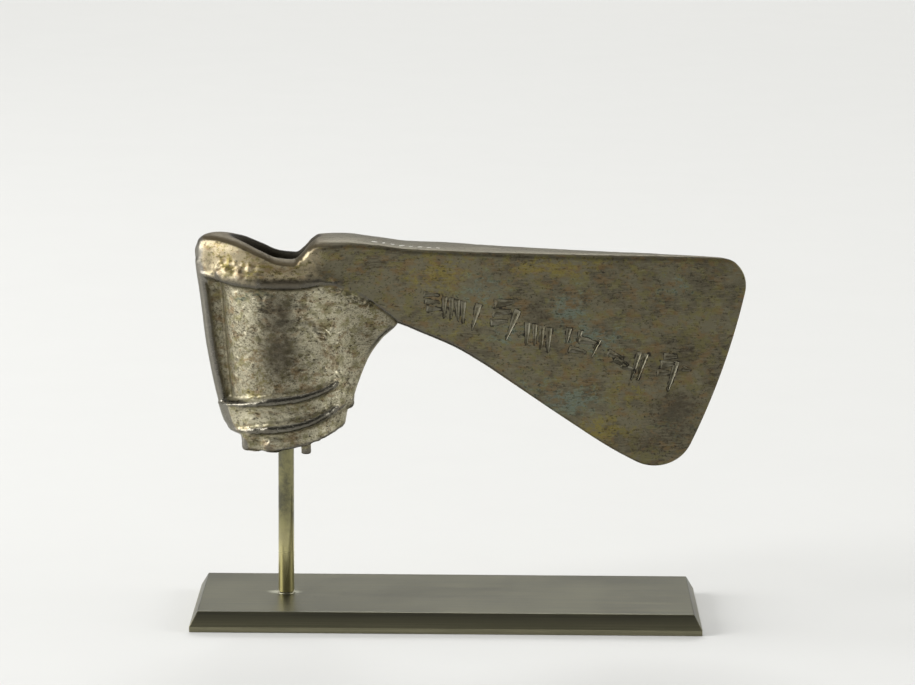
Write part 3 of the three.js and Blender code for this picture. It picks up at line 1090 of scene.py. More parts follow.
@dataclass(frozen=True)
class Pattern:
    """A noise pattern: the size of its bumps in millimetres, its detail and where it starts."""

    name: str
    size: Triple
    detail: float = 4.0
    start: float = 0.0


@dataclass(frozen=True)
class Mask:
    """A weighted sum of sources that rises smoothly from 0 to 1 between two values."""

    name: str
    terms: Terms
    low: float
    high: float


@dataclass(frozen=True)
class Finish:
    """A ground with layers over it, the patterns and masks that steer them, and a fine bump.

    The edge tint dims what is seen at a grazing angle, as oxide does. A mask or the bump can draw on the
    patterns, the zones stored on the mesh, "height" in millimetres, "spot", which is the distance from a spot
    in spot radii, and the masks before it.
    """

    ground: Layer
    layers: tuple[Layer, ...] = ()
    patterns: tuple[Pattern, ...] = ()
    masks: tuple[Mask, ...] = ()
    bump: Terms = ()
    bump_height: float = 0.0
    edge_tint: str = "#ffffff"
    zones: tuple[Zone, ...] = ()
    spot_centre: Triple = (0.0, 0.0, 0.0)
    spot_half: Triple = (1.0, 1.0, 1.0)

    def build(self, name: str) -> bpy.types.Material:
        """Makes the material.

        Args:
            name: Name of the material.

        Returns:
            The new material.
        """
        material = bpy.data.materials.new(name)
        material.use_nodes = True
        tree = material.node_tree
        tree.nodes.clear()
        sources = self.sources(tree)
        for mask in self.masks:
            ranged = add_node(
                tree, "ShaderNodeMapRange",
                {"Value": self.total(tree, sources, mask.terms), "From Min": mask.low, "From Max": mask.high},
                interpolation_type="SMOOTHSTEP",
            )
            sources[mask.name] = ranged.outputs[0]

        ground = self.ground
        colour, roughness, metallic = linear(ground.colour), ground.roughness, ground.metallic
        for layer in self.layers:
            factor = self.total(tree, sources, ((layer.mask, layer.amount),))
            colour = add_node(
                tree, "ShaderNodeMix",
                {MIX_FACTOR: factor, MIX_UNDER: colour, MIX_OVER: linear(layer.colour)}, data_type="RGBA",
            ).outputs[MIX_RESULT]
            roughness, metallic = (
                add_node(tree, "ShaderNodeMix", {0: factor, 2: under, 3: over}).outputs[0]
                for under, over in ((roughness, layer.roughness), (metallic, layer.metallic))
            )
        height = self.total(tree, sources, self.bump)
        bump = add_node(
            tree, "ShaderNodeBump", {"Strength": 1.0, "Distance": self.bump_height * MM, "Height": height},
        )
        shader = add_node(
            tree, "ShaderNodeBsdfPrincipled",
            {"Base Color": colour, "Roughness": roughness, "Metallic": metallic, "Normal": bump.outputs[0],
             "Specular Tint": linear(self.edge_tint)},
        )
        add_node(tree, "ShaderNodeOutputMaterial", {"Surface": shader.outputs[0]})
        return material

    def sources(self, tree: bpy.types.NodeTree) -> dict[str, bpy.types.NodeSocket]:
        """Adds the nodes of every source and returns their sockets by name.

        Args:
            tree: Tree of the material.

        Returns:
            Socket of each source by its name.
        """
        metres = add_node(tree, "ShaderNodeTexCoord").outputs["Object"]
        place = add_node(
            tree, "ShaderNodeVectorMath", {0: metres, 1: (1 / MM,) * 3}, operation="MULTIPLY",
        ).outputs[0]
        centred = add_node(
            tree, "ShaderNodeVectorMath", {0: place, 1: self.spot_centre}, operation="SUBTRACT",
        )
        scaled = add_node(
            tree, "ShaderNodeVectorMath", {0: centred.outputs[0], 1: self.spot_half}, operation="DIVIDE",
        )
        away = add_node(tree, "ShaderNodeVectorMath", {0: scaled.outputs[0]}, operation="LENGTH")
        sources = {
            "height": add_node(tree, "ShaderNodeSeparateXYZ", {0: place}).outputs[2],
            "spot": away.outputs["Value"],
        }
        for zone in self.zones:
            stored = add_node(tree, "ShaderNodeAttribute", attribute_name=zone.value)
            sources[zone.value] = stored.outputs["Fac"]
        for pattern in self.patterns:
            scale = tuple(1.0 / size for size in pattern.size)
            stretched = add_node(
                tree, "ShaderNodeMapping",
                {"Vector": place, "Location": (pattern.start,) * 3, "Scale": scale},
            )
            noise = add_node(
                tree, "ShaderNodeTexNoise",
                {"Vector": stretched.outputs[0], "Scale": 1.0, "Detail": pattern.detail,
                 "Roughness": NOISE_ROUGHNESS},
            )
            sources[pattern.name] = noise.outputs[0]
        return sources

    def total(
        self, tree: bpy.types.NodeTree, sources: dict[str, bpy.types.NodeSocket], terms: Terms,
    ) -> bpy.types.NodeSocket | float:
        """Weighted sum of sources, added up node by node.

        Args:
            tree: Tree of the material.
            sources: Socket of each source by its name.
            terms: Names of the sources and their weights.

        Returns:
            Socket of the sum, or 0 if there are no terms.
        """
        total = 0.0
        for name, weight in terms:
            total = add_node(
                tree, "ShaderNodeMath", {0: sources[name], 1: weight, 2: total}, operation="MULTIPLY_ADD",
            ).outputs[0]
        return total


@dataclass(frozen=True)
class PatinatedBronze(Finish):
    """Cast tin bronze with a brown patina, buried for long and cleaned by hand.

    The patina is a thin brown skin that still lets the metal gloss through. It is rubbed to grey metal on
    ridges, keeps earth in hollows, and has olive, ochre, grey-green and dark grey clouds, dark pits and fine
    wiping marks. The dark grey layer also paints a dark reflection down the socket's middle and along the
    collar's ridge, and the inside of the shaft hole is painted near black: painted shade over darker
    corroded metal.
    """

    ground: Layer = Layer("", "#716c58", 0.38, 0.8)
    layers: tuple[Layer, ...] = (
        Layer("clouds", "#565042", 0.46, 0.8, 0.8),
        Layer("golden", "#b0a283", 0.4, 0.35, 0.9),
        Layer("bared", "#cdc6ab", 0.32, 0.85, 0.85),
        Layer("rust", "#7c6340", 0.5, 0.7, 0.6),
        Layer("olive", "#757045", 0.45, 0.8, 0.6),
        Layer("stained", "#5a4832", 0.5, 0.7, 0.65),
        Layer("yellowed", "#8a7c40", 0.5, 0.7, 0.7),
        Layer("greened", "#6d7b70", 0.55, 0.5, 0.75),
        Layer("specks", "#403a2d", 0.5, 0.7, 0.7),
        Layer("streaks", "#8f8a72", 0.36, 0.9, 0.3),
        # Dark grey patina, and over the socket's middle and the collar's ridge a painted dark reflection.
        Layer("darkened", "#4a4338", 0.36, 0.85, 0.85),
        Layer("crowned", "#4c473b", 0.36, 0.85, 0.88),
        Layer("rimmed", "#493f2b", 0.5, 0.7, 0.85),
        Layer("grime", "#3d3628", 0.55, 0.6, 0.6),
        Layer("outline", "#26221b", 0.6, 0.5, 0.9),
        Layer("pits", "#28241e", 0.75, 0.2, 0.85),
        Layer("hollow", "#5a5239", 0.5, 0.6, 0.3),
        # Near black inside the shaft hole: painted shade, over darker corroded metal.
        Layer("inside", "#1d1a15", 0.8, 0.1, 0.9),
        Layer("polish", "#615e57", 0.24, 1.0, 0.85),
        Layer("smooth", "#7f7c75", 0.26, 1.0, 0.88),
    )
    patterns: tuple[Pattern, ...] = (
        Pattern("cloud", (10.0, 9.0, 8.0), 6.0),
        Pattern("mottle", (2.8, 2.5, 2.3), 7.0),
        Pattern("earth", (4.0, 2.9, 2.4), 7.0, 31.0),
        Pattern("speckle", (1.4, 1.0, 0.8), 4.0, 5.0),
        Pattern("grain", (0.62, 0.55, 0.5), 3.0),
        Pattern("pit", (1.0, 1.0, 1.0), 3.0, 11.0),
        Pattern("wipe", (3.4, 0.6, 0.4), 4.0, 3.0),
    )
    masks: tuple[Mask, ...] = (
        Mask("clouds", (("cloud", 1.0),), 0.42, 0.6),
        Mask("rust", (("earth", 1.0),), 0.5, 0.62),
        Mask("olive", (("mottle", 1.0),), 0.49, 0.6),
        Mask("yellowed", (("ochre", 0.28), ("mottle", 0.8), ("speckle", 0.9)), 0.98, 1.16),
        Mask("greened", (("verdigris", 0.3), ("mottle", 0.9), ("speckle", 0.9)), 1.05, 1.24),
        Mask("specks", (("speckle", 0.8), ("cloud", 0.3)), 0.61, 0.68),
        Mask("streaks", (("wipe", 1.0), ("cloud", 0.4)), 0.71, 0.83),
        Mask("golden", (("collar", 1.0), ("mottle", 0.8)), 1.05, 1.45),
        Mask("bared", (("socket", 0.42), ("battered", 0.3), ("grain", 1.1), ("speckle", 0.3)), 0.95, 1.3),
        # Where the dark grey layer goes, the painted dark reflection included.
        Mask("darkened", (("slate", 0.4), ("mottle", 0.5), ("speckle", 0.4), ("grain", 0.3)), 0.76, 1.12),
        Mask("crowned", (("crown", 1.0), ("mottle", -0.7), ("earth", -0.5)), -0.1, 0.3),
        Mask("rimmed", (("crown", 1.0), ("collar", 1.0), ("mottle", -0.4), ("earth", -0.4)), 1.1, 1.6),
        Mask("outline", (("stroke", 1.0), ("grain", 0.3)), 0.4, 0.85),
        Mask("stained", (("socket", 0.16), ("earth", 0.5), ("speckle", 0.7)), 0.8, 0.92),
        Mask("smooth", (("bead", 1.0), ("speckle", -0.4), ("mottle", -0.3)), 0.2, 0.55),
        Mask("grime", (("grain", 1.0), ("socket", 0.03), ("speckle", 0.5)), 0.8, 0.94),
        Mask("pits", (("pit", 1.0), ("battered", 0.04)), 0.66, 0.72),
    )
    bump: Terms = (("grain", 0.55), ("socket", 0.5), ("speckle", 0.5), ("wipe", 0.12), ("pits", -0.8))
    bump_height: float = 0.09
    edge_tint: str = "#d6d6d2"
    zones: tuple[Zone, ...] = tuple(Zone)


@dataclass(frozen=True)
class BronzeInStrokes(PatinatedBronze):
    """The same bronze inside the cut strokes, where paler metal and a little chalky dust show."""

    layers: tuple[Layer, ...] = (
        Layer("clouds", "#6b6554", 0.46, 0.8, 0.6),
        Layer("rust", "#76603c", 0.5, 0.7, 0.3),
        Layer("chalk", "#989482", 0.5, 0.6, 0.85),
    )
    masks: tuple[Mask, ...] = (
        Mask("clouds", (("cloud", 1.0),), 0.42, 0.6),
        Mask("rust", (("earth", 1.0),), 0.5, 0.62),
        Mask("chalk", (("mottle", 0.6), ("speckle", 0.5)), 0.44, 0.66),
    )
    bump: Terms = (("grain", 0.55), ("speckle", 0.5))
    zones: tuple[Zone, ...] = ()


@dataclass(frozen=True)
class TarnishedBrass(Finish):
    """Drawn brass bar, tarnished to a greyish olive by handling, and still yellow close to the plate."""

    ground: Layer = Layer("", "#86825f", 0.13, 1.0)
    layers: tuple[Layer, ...] = (
        Layer("tarnish", "#535247", 0.16, 0.95, 0.85),
        Layer("clean", "#d8cf98", 0.32, 0.9, 0.9),
    )
    patterns: tuple[Pattern, ...] = (
        Pattern("lines", (0.22, 0.22, 16.0), 2.0),
        Pattern("blotches", (4.0, 4.0, 4.0)),
    )
    masks: tuple[Mask, ...] = (
        Mask("tarnish", (("blotches", 1.0),), 0.35, 0.65),
        Mask("clean", (("height", -1.0),), -27.0, -12.0),
    )
    bump: Terms = (("lines", 1.0),)
    bump_height: float = 0.006


@dataclass(frozen=True)
class DarkenedBrass(Finish):
    """Brass plate, ground along its length and darkened to a satin grey-brown, with one pale scuff and a
    paler painted reflection of the floor low on its edge.
    """

    ground: Layer = Layer("", "#545348", 0.28, 0.85)
    layers: tuple[Layer, ...] = (
        Layer("clouds", "#504f45", 0.34, 0.85, 0.6),
        # Paler brass on the plate's upright band, fading up the bevel: a painted reflection of the floor.
        Layer("worn", "#b0aa88", 0.36, 0.8, 0.43),
        Layer("ground_lines", "#6e6c57", 0.34, 0.85, 0.6),
        Layer("scuff", "#b4b4a2", 0.5, 0.6, 0.45),
    )
    patterns: tuple[Pattern, ...] = (
        Pattern("lines", (33.0, 0.35, 0.35), 3.0),
        Pattern("cloud", (22.0, 22.0, 22.0), 5.0),
    )
    masks: tuple[Mask, ...] = (
        Mask("clouds", (("cloud", 1.0),), 0.4, 0.62),
        Mask("ground_lines", (("lines", 1.0), ("cloud", 0.3)), 0.54, 0.76),
        # The painted floor reflection, strongest at the bottom of the plate's edge.
        Mask("worn", (("height", -1.0),), -5.4, -1.3),
        Mask("scuff", (("spot", -1.0),), -1.15, -0.55),
    )
    bump: Terms = (("lines", 1.0),)
    bump_height: float = 0.008
    edge_tint: str = "#d6d6d6"
    spot_centre: Triple = (-41.2, 0.3, 4.0)
    spot_half: Triple = (4.6, 2.1, 9.0)


@dataclass(frozen=True)
class MottledFinish(Finish):
    """Ground of a faint mottle, for what needs no more."""

    layers: tuple[Layer, ...] = (Layer("mottle", "#8d8a74", 0.35, 1.0),)
    patterns: tuple[Pattern, ...] = (Pattern("mottle", (0.6, 0.6, 0.6), 3.0),)
    bump: Terms = (("mottle", 1.0),)
    bump_height: float = 0.004


# Dull grey-yellow solder, slightly uneven.
SOFT_SOLDER = MottledFinish(Layer("", "#b9b6a2", 0.35, 1.0))
# Old white paint, chalky and a little grey.
OLD_PAINT = MottledFinish(Layer("", "#e6e6e0", 0.7, 0.0), (Layer("mottle", "#b9b8ae", 0.8, 0.0),))
# Matt pale grey studio floor without any visible grain.
PAINTED_FLOOR = MottledFinish(
    Layer("", "#d4d4d2", 0.9, 0.0), (Layer("mottle", "#d1d1cf", 0.9, 0.0),),
    (Pattern("mottle", (40.0, 40.0, 40.0)),),
)


# ---------------------------------------------------------------------------------------------
# Meshes from node trees
# ---------------------------------------------------------------------------------------------


def new_tree(name: str, inputs: dict[str, str]) -> bpy.types.NodeTree:
    """Makes an empty geometry tree.

    Args:
        name: Name of the tree.
        inputs: Type of each named input.

    Returns:
        The tree, which has a geometry output.
    """
    tree = bpy.data.node_groups.new(name, "GeometryNodeTree")
    for label, kind in inputs.items():
        tree.interface.new_socket(name=label, in_out="INPUT", socket_type=kind)
    tree.interface.new_socket(name="Geometry", in_out="OUTPUT", socket_type="NodeSocketGeometry")
    return tree


def use_tree(thing: bpy.types.Object, tree: bpy.types.NodeTree, values: dict[str, object]) -> None:
    """Puts a geometry tree on an object and sets its named inputs by their identifiers.

    Args:
        thing: Object that gets the tree.
        tree: Tree to put on it.
        values: Value of each input by its name.
    """
    modifier = thing.modifiers.new(tree.name, "NODES")
    modifier.node_group = tree
    for item in tree.interface.items_tree:
        if item.in_out == "INPUT" and item.name in values:
            modifier[item.identifier] = values[item.name]


def new_object(name: str, mesh: bpy.types.Mesh | None = None) -> bpy.types.Object:
    """Adds an object at the origin, with a mesh or an empty one.

    Args:
        name: Name of the object.
        mesh: Its mesh, if there is one yet.

    Returns:
        The new object.
    """
    thing = bpy.data.objects.new(name, mesh or bpy.data.meshes.new(name))
    bpy.context.scene.collection.objects.link(thing)
    return thing


def close_tree(tree: bpy.types.NodeTree, shape: bpy.types.NodeSocket) -> None:
    """Ends a geometry tree: what was made turns real, takes the given material and goes out.

    Args:
        tree: Tree with an input named Material.
        shape: Socket of the geometry that was made.
    """
    given = add_node(tree, "NodeGroupInput").outputs
    real = add_node(tree, "GeometryNodeRealizeInstances", {"Geometry": shape})
    dressed = add_node(
        tree, "GeometryNodeSetMaterial", {"Geometry": real.outputs[0], "Material": given["Material"]},
    )
    joined = add_node(tree, "GeometryNodeJoinGeometry")
    tree.links.new(dressed.outputs[0], joined.inputs[0])
    if "Geometry" in given:
        tree.links.new(given["Geometry"], joined.inputs[0])
    add_node(tree, "NodeGroupOutput", {"Geometry": joined.outputs[0]})


def make_plain(thing: bpy.types.Object) -> None:
    """Applies every modifier of an object to its mesh.

    Args:
        thing: Object whose modifiers are applied.
    """
    graph = bpy.context.evaluated_depsgraph_get()
    mesh = bpy.data.meshes.new_from_object(thing.evaluated_get(graph))
    thing.modifiers.clear()
    thing.data = mesh


def drop(*things: bpy.types.Object) -> None:
    """Removes helper objects."""
    for thing in things:
        bpy.data.objects.remove(thing)


def shade(mesh: bpy.types.Mesh, sharp_angle: float) -> None:
    """Shades a mesh smooth, but for edges sharper than an angle in degrees."""
    mesh.shade_smooth()
    mesh.set_sharp_from_angle(angle=math.radians(sharp_angle))


def marks_tree() -> bpy.types.NodeTree:
    """Tree that lays a row of marks on a surface and adds them to its geometry.

    The marks stand on an even line in front of the surface. Each is turned to face along the surface's
    normal, moved onto it along the aim, turned about that normal and sized, with a little random spread.

    Returns:
        The tree, with its inputs named for what they set.
    """
    tree = new_tree("row_of_marks", {
        "Geometry": "NodeSocketGeometry", "Target": "NodeSocketObject", "Mark": "NodeSocketObject",
        "Start": "NodeSocketVector", "End": "NodeSocketVector", "Count": "NodeSocketInt",
        "Aim": "NodeSocketVector", "Turn": "NodeSocketFloat", "Turn Spread": "NodeSocketFloat",
        "Size": "NodeSocketVector", "Size Spread": "NodeSocketFloat", "Seed": "NodeSocketInt",
        "Material": "NodeSocketMaterial",
    })
    given = add_node(tree, "NodeGroupInput").outputs
    line = add_node(
        tree, "GeometryNodeMeshLine",
        {"Count": given["Count"], "Start Location": given["Start"], "Offset": given["End"]},
        mode="END_POINTS",
    )
    target = add_node(tree, "GeometryNodeObjectInfo", {"Object": given["Target"]}, transform_space="RELATIVE")
    mark = add_node(tree, "GeometryNodeObjectInfo", {"Object": given["Mark"]})
    ray = add_node(
        tree, "GeometryNodeRaycast",
        {"Target Geometry": target.outputs["Geometry"], "Ray Direction": given["Aim"], "Ray Length": 1.0},
    )
    upright = add_node(
        tree, "FunctionNodeAlignRotationToVector", {"Vector": ray.outputs["Hit Normal"]}, axis="Z",
    )
    negative = add_node(tree, "ShaderNodeMath", {0: given["Turn Spread"], 1: -1.0}, operation="MULTIPLY")
    stray = add_node(
        tree, "FunctionNodeRandomValue",
        {RANDOM_LOW: negative.outputs[0], RANDOM_HIGH: given["Turn Spread"], "Seed": given["Seed"]},
        data_type="FLOAT",
    )
    angle = add_node(
        tree, "ShaderNodeMath", {0: given["Turn"], 1: stray.outputs[RANDOM_RESULT]}, operation="ADD",
    )
    turn = add_node(
        tree, "FunctionNodeAxisAngleToRotation", {"Axis": (0.0, 0.0, 1.0), "Angle": angle.outputs[0]},
    )
    turned = add_node(
        tree, "FunctionNodeRotateRotation",
        {"Rotation": upright.outputs[0], "Rotate By": turn.outputs[0]}, rotation_space="LOCAL",
    )
    least = add_node(tree, "ShaderNodeMath", {0: 1.0, 1: given["Size Spread"]}, operation="SUBTRACT")
    most = add_node(tree, "ShaderNodeMath", {0: 1.0, 1: given["Size Spread"]}, operation="ADD")
    other_seed = add_node(tree, "ShaderNodeMath", {0: given["Seed"], 1: 1.0}, operation="ADD")
    factor = add_node(
        tree, "FunctionNodeRandomValue",
        {RANDOM_LOW: least.outputs[0], RANDOM_HIGH: most.outputs[0], "Seed": other_seed.outputs[0]},
        data_type="FLOAT",
    )
    size = add_node(
        tree, "ShaderNodeVectorMath", {0: given["Size"], "Scale": factor.outputs[RANDOM_RESULT]},
        operation="SCALE",
    )
    placed = add_node(
        tree, "GeometryNodeInstanceOnPoints",
        {"Points": line.outputs[0], "Instance": mark.outputs["Geometry"], "Rotation": turned.outputs[0],
         "Scale": size.outputs[0]},
    )
    landed = add_node(
        tree, "GeometryNodeSetPosition",
        {"Geometry": placed.outputs[0], "Selection": ray.outputs["Is Hit"],
         "Position": ray.outputs["Hit Position"]},
    )
    close_tree(tree, landed.outputs[0])
    return tree


# ---------------------------------------------------------------------------------------------
# Sub-assemblies
# ---------------------------------------------------------------------------------------------


@dataclass(frozen=True)
class StrokeRow:
    """A row of tapered strokes: where the first and last one start, how many, their size and lean."""

    start: tuple[float, float]
    end: tuple[float, float]
    count: int
    length: float
    width: float
    lean: float
    spread: float = 4.0


@dataclass(frozen=True)
class StrokeSizes:
    """Short rows of shallow tapered strokes along the blade, plain tallies that spell nothing."""

    depth: float = 0.45
    size_spread: float = 0.12
    stand_off: float = 20.0
    # Corners of the punch, in stroke lengths, widths and depths: a broad deep head and a narrow tail.
    punch: tuple[Triple, ...] = (
        (0.0, 0.72, 0.3), (0.0, -0.72, 0.3), (0.2, 0.0, -1.0),
        (1.0, 0.3, 0.3), (1.0, -0.3, 0.3), (0.96, 0.0, -0.6),
    )
    rows: tuple[StrokeRow, ...] = (
        StrokeRow((-6.4, 83.2), (-5.6, 79.4), 3, 4.4, 1.7, -8.0),
        StrokeRow((-0.8, 82.9), (3.8, 81.6), 4, 5.6, 1.2, -88.0),
        StrokeRow((7.8, 81.0), (7.8, 81.0), 1, 7.8, 1.4, -104.0),
        StrokeRow((11.4, 80.8), (10.4, 75.8), 3, 5.0, 1.8, 6.0),
        StrokeRow((17.6, 79.4), (17.6, 79.4), 1, 9.0, 1.4, -106.0),
        StrokeRow((20.0, 76.2), (25.4, 74.8), 4, 6.0, 1.2, -92.0),
        StrokeRow((30.4, 74.6), (33.4, 74.0), 2, 3.6, 1.2, -98.0),
        StrokeRow((30.2, 69.2), (32.6, 71.6), 2, 5.0, 1.8, -14.0),
        StrokeRow((38.2, 71.8), (38.2, 71.8), 1, 5.6, 1.0, -110.0),
        StrokeRow((40.0, 68.4), (43.4, 65.0), 3, 4.4, 1.7, -20.0, 12.0),
        StrokeRow((48.2, 68.6), (50.0, 68.2), 2, 7.4, 1.0, -104.0),
        StrokeRow((54.2, 67.2), (52.6, 63.0), 3, 3.6, 1.5, 4.0),
        StrokeRow((57.6, 66.0), (57.6, 66.0), 1, 7.6, 1.1, -98.0),
        StrokeRow((59.0, 64.0), (59.0, 64.0), 1, 2.4, 1.4, -12.0),
    )


@dataclass(frozen=True)
class DabSizes:
    """A row of rubbed dabs of paint on the back: its ends above the metal, and one dab's size."""

    start: Triple = (-18.4, -5.2, 120.0)
    end: Triple = (-2.6, -4.6, 120.0)
    count: int = 8
    size: Triple = (0.75, 0.3, 0.05)
    size_spread: float = 0.3
    spread: float = 70.0
    seed: int = 5
    sharp_angle: float = 60.0


@dataclass
class AxeHead:
    """The bronze casting with its strokes and a few dabs of old white paint."""

    sizes: AxeHeadSizes = field(default_factory=AxeHeadSizes)
    surface: SurfaceSizes = field(default_factory=SurfaceSizes)
    strokes: StrokeSizes = field(default_factory=StrokeSizes)
    paint: DabSizes = field(default_factory=DabSizes)
    triangle_limit: int = 165000
    sharp_angle: float = 75.0

    def build(self) -> list[bpy.types.Object]:
        """Makes the axe head and its dabs of paint, dresses them and sets them in the frame.

        Returns:
            The casting and its dabs of paint.
        """
        solid = AxeSolid(self.sizes)
        surface = CastSurface(solid, self.surface)
        plain, cast = self.skins(solid, surface)
        thing = new_object("axe_head_casting", cast)
        target = new_object("plain_axe_head", plain)
        decimate = thing.modifiers.new("thin_out", "DECIMATE")
        decimate.ratio = min(1.0, self.triangle_limit / (2 * len(thing.data.polygons)))
        make_plain(thing)
        thing.data.materials.append(PatinatedBronze().build("patinated_bronze"))
        self.cut_strokes(thing, target)
        drop(target)
        shade(thing.data, self.sharp_angle)
        self.paint_zones(thing.data, surface)
        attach(thing, "root")
        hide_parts("axe_head")
        return [thing, self.dabs(thing)]

    def dabs(self, thing: bpy.types.Object) -> bpy.types.Object:
        """Lays a short row of rubbed white dabs along the back.

        Args:
            thing: The casting that carries the dabs.

        Returns:
            The dabs as one object.
        """
        mesh = bpy.data.meshes.new("dab")
        blob = bmesh.new()
        bmesh.ops.create_icosphere(blob, subdivisions=2, radius=1.0)
        blob.to_mesh(mesh)
        blob.free()
        dab = new_object("dab", mesh)
        dabs = new_object("worn_paint_dabs")
        paint = self.paint
        use_tree(dabs, marks_tree(), {
            "Target": thing, "Mark": dab, "Start": Vector(paint.start) * MM, "End": Vector(paint.end) * MM,
            "Count": paint.count, "Aim": (0.0, 0.0, -1.0), "Turn Spread": math.radians(paint.spread),
            "Size": Vector(paint.size) * MM, "Size Spread": paint.size_spread, "Seed": paint.seed,
            "Material": OLD_PAINT.build("old_white_paint"),
        })
        make_plain(dabs)
        drop(dab)
        shade(dabs.data, paint.sharp_angle)
        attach(dabs, "root")
        return dabs

    def skins(self, solid: AxeSolid, surface: CastSurface) -> list[bpy.types.Mesh]:
        """Meshes the solid twice: plain, and with its relief.

        Args:
            solid: Solid to mesh.
            surface: Its relief.

        Returns:
            The plain mesh and the one with its relief.
        """
        mesher = SkinMesher(solid)
        points, quads = mesher.surface()
        points = mesher.settled(points)
        slope = solid.gradient(points)
        normals = slope / np.maximum(np.linalg.norm(slope, axis=1, keepdims=True), FLAT_SLOPE)
        LOG.info("skin of %d points and %d quads", len(points), len(quads))
        meshes = []
        for place in (points, points + normals * surface.relief(points)[:, None]):
            mesh = bpy.data.meshes.new("skin")
            mesh.from_pydata((place * MM).tolist(), [], quads.tolist())
            meshes.append(mesh)
        return meshes

    def punch(self) -> bpy.types.Mesh:
        """Makes the punch for one stroke, of unit size, as the hull of its corners.

        Returns:
            The punch, one unit long.
        """
        mesh = bpy.data.meshes.new("stroke_punch")
        shell = bmesh.new()
        points = [shell.verts.new(corner) for corner in self.strokes.punch]
        bmesh.ops.convex_hull(shell, input=points)
        bmesh.ops.recalc_face_normals(shell, faces=shell.faces)
        shell.to_mesh(mesh)
        shell.free()
        return mesh

    def cut_strokes(self, thing: bpy.types.Object, target: bpy.types.Object) -> None:
        """Lays rows of punches on the near face of the blade and cuts them out of it.

        Args:
            thing: The casting that is cut.
            target: The casting without its relief, which gives each punch a steady direction.
        """
        punch = new_object("stroke_punch", self.punch())
        cutters = new_object("stroke_cutters")
        tree = marks_tree()
        metal = BronzeInStrokes().build("bronze_in_the_strokes")
        for number, row in enumerate(self.strokes.rows):
            ends = [Vector((x, -self.strokes.stand_off, z)) * MM for x, z in (row.start, row.end)]
            use_tree(cutters, tree, {
                "Target": target, "Mark": punch, "Start": ends[0], "End": ends[1], "Count": row.count,
                "Aim": (0.0, 1.0, 0.0), "Turn": math.radians(row.lean),
                "Turn Spread": math.radians(row.spread),
                "Size": Vector((row.length, row.width, self.strokes.depth)) * MM,
                "Size Spread": self.strokes.size_spread, "Seed": 2 * number, "Material": metal,
            })
        make_plain(cutters)
        cut = thing.modifiers.new("strokes", "BOOLEAN")
        cut.operation = "DIFFERENCE"
        cut.solver = "MANIFOLD"
        cut.object = cutters
        cut.material_mode = "TRANSFER"
        make_plain(thing)
        drop(punch, cutters)

    def paint_zones(self, mesh: bpy.types.Mesh, surface: CastSurface) -> None:
        """Stores each zone's mask on the mesh's points.

        Args:
            mesh: Mesh of the casting.
            surface: Gives the masks.
        """
        points = np.empty(len(mesh.vertices) * 3)
        mesh.vertices.foreach_get("co", points)
        masks = surface.masks(points.reshape(-1, 3) / MM)
        masks[Zone.STROKE] = np.zeros(len(mesh.vertices))
        for face in mesh.polygons:
            if face.material_index > 0:
                face.use_smooth = False
                masks[Zone.STROKE][list(face.vertices)] = 1.0
        for zone, values in masks.items():
            stored = mesh.attributes.new(zone.value, "FLOAT", "POINT")
            stored.data.foreach_set("value", values.astype(np.float32))


@dataclass
class BasePlate:
    """Rectangular plate with an upright band and a bevel all round, made by a node tree."""

    band: float = 1.4
    inset: float = 2.0
    softening: float = 0.18
    softening_steps: int = 3
    sharp_angle: float = 10.0

    def tree(self) -> bpy.types.NodeTree:
        """Tree of the plate: a block, and its top face drawn up and in.

        Returns:
            The tree, with its inputs named for what they set.
        """
        tree = new_tree("bevelled_plate", {
            "Size": "NodeSocketVector", "Centre": "NodeSocketVector", "Bevel": "NodeSocketFloat",
            "Inset": "NodeSocketVector", "Material": "NodeSocketMaterial",
        })
        given = add_node(tree, "NodeGroupInput").outputs
        block = add_node(tree, "GeometryNodeMeshCube", {"Size": given["Size"]})
        placed = add_node(
            tree, "GeometryNodeTransform", {"Geometry": block.outputs[0], "Translation": given["Centre"]},
        )
        facing = add_node(tree, "GeometryNodeInputNormal").outputs[0]
        rise = add_node(tree, "ShaderNodeSeparateXYZ", {0: facing}).outputs[2]
        upward = add_node(tree, "FunctionNodeCompare", {0: rise, 1: 0.5}, operation="GREATER_THAN")
        raised = add_node(
            tree, "GeometryNodeExtrudeMesh",
            {"Mesh": placed.outputs[0], "Selection": upward.outputs[0], "Offset Scale": given["Bevel"]},
        )
        position = add_node(tree, "GeometryNodeInputPosition").outputs[0]
        side = add_node(tree, "ShaderNodeVectorMath", {0: position}, operation="SIGN").outputs[0]
        pull = add_node(tree, "ShaderNodeVectorMath", {0: side, 1: given["Inset"]}, operation="MULTIPLY")
        drawn = add_node(
            tree, "GeometryNodeSetPosition",
            {"Geometry": raised.outputs["Mesh"], "Selection": raised.outputs["Top"],
             "Offset": pull.outputs[0]},
        )
        close_tree(tree, drawn.outputs[0])
        return tree

    def build(self) -> bpy.types.Object:
        """Makes the plate in the space of the frame's own plate.

        Returns:
            The plate.
        """
        low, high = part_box("base_plate")
        size, middle = high - low, (low + high) / 2
        band, inset = self.band * MM, self.inset * MM
        thing = new_object("bevelled_base_plate")
        use_tree(thing, self.tree(), {
            "Size": (size.x, size.y, band), "Centre": (middle.x, middle.y, low.z + band / 2),
            "Bevel": size.z - band, "Inset": (-inset, -inset, 0.0),
            "Material": DarkenedBrass().build("darkened_brass"),
        })
        edges = thing.modifiers.new("softened_edges", "BEVEL")
        edges.width = self.softening * MM
        edges.segments = self.softening_steps
        edges.limit_method = "ANGLE"
        make_plain(thing)
        shade(thing.data, self.sharp_angle)
        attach(thing, "root")
        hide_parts("base_plate")
        return thing


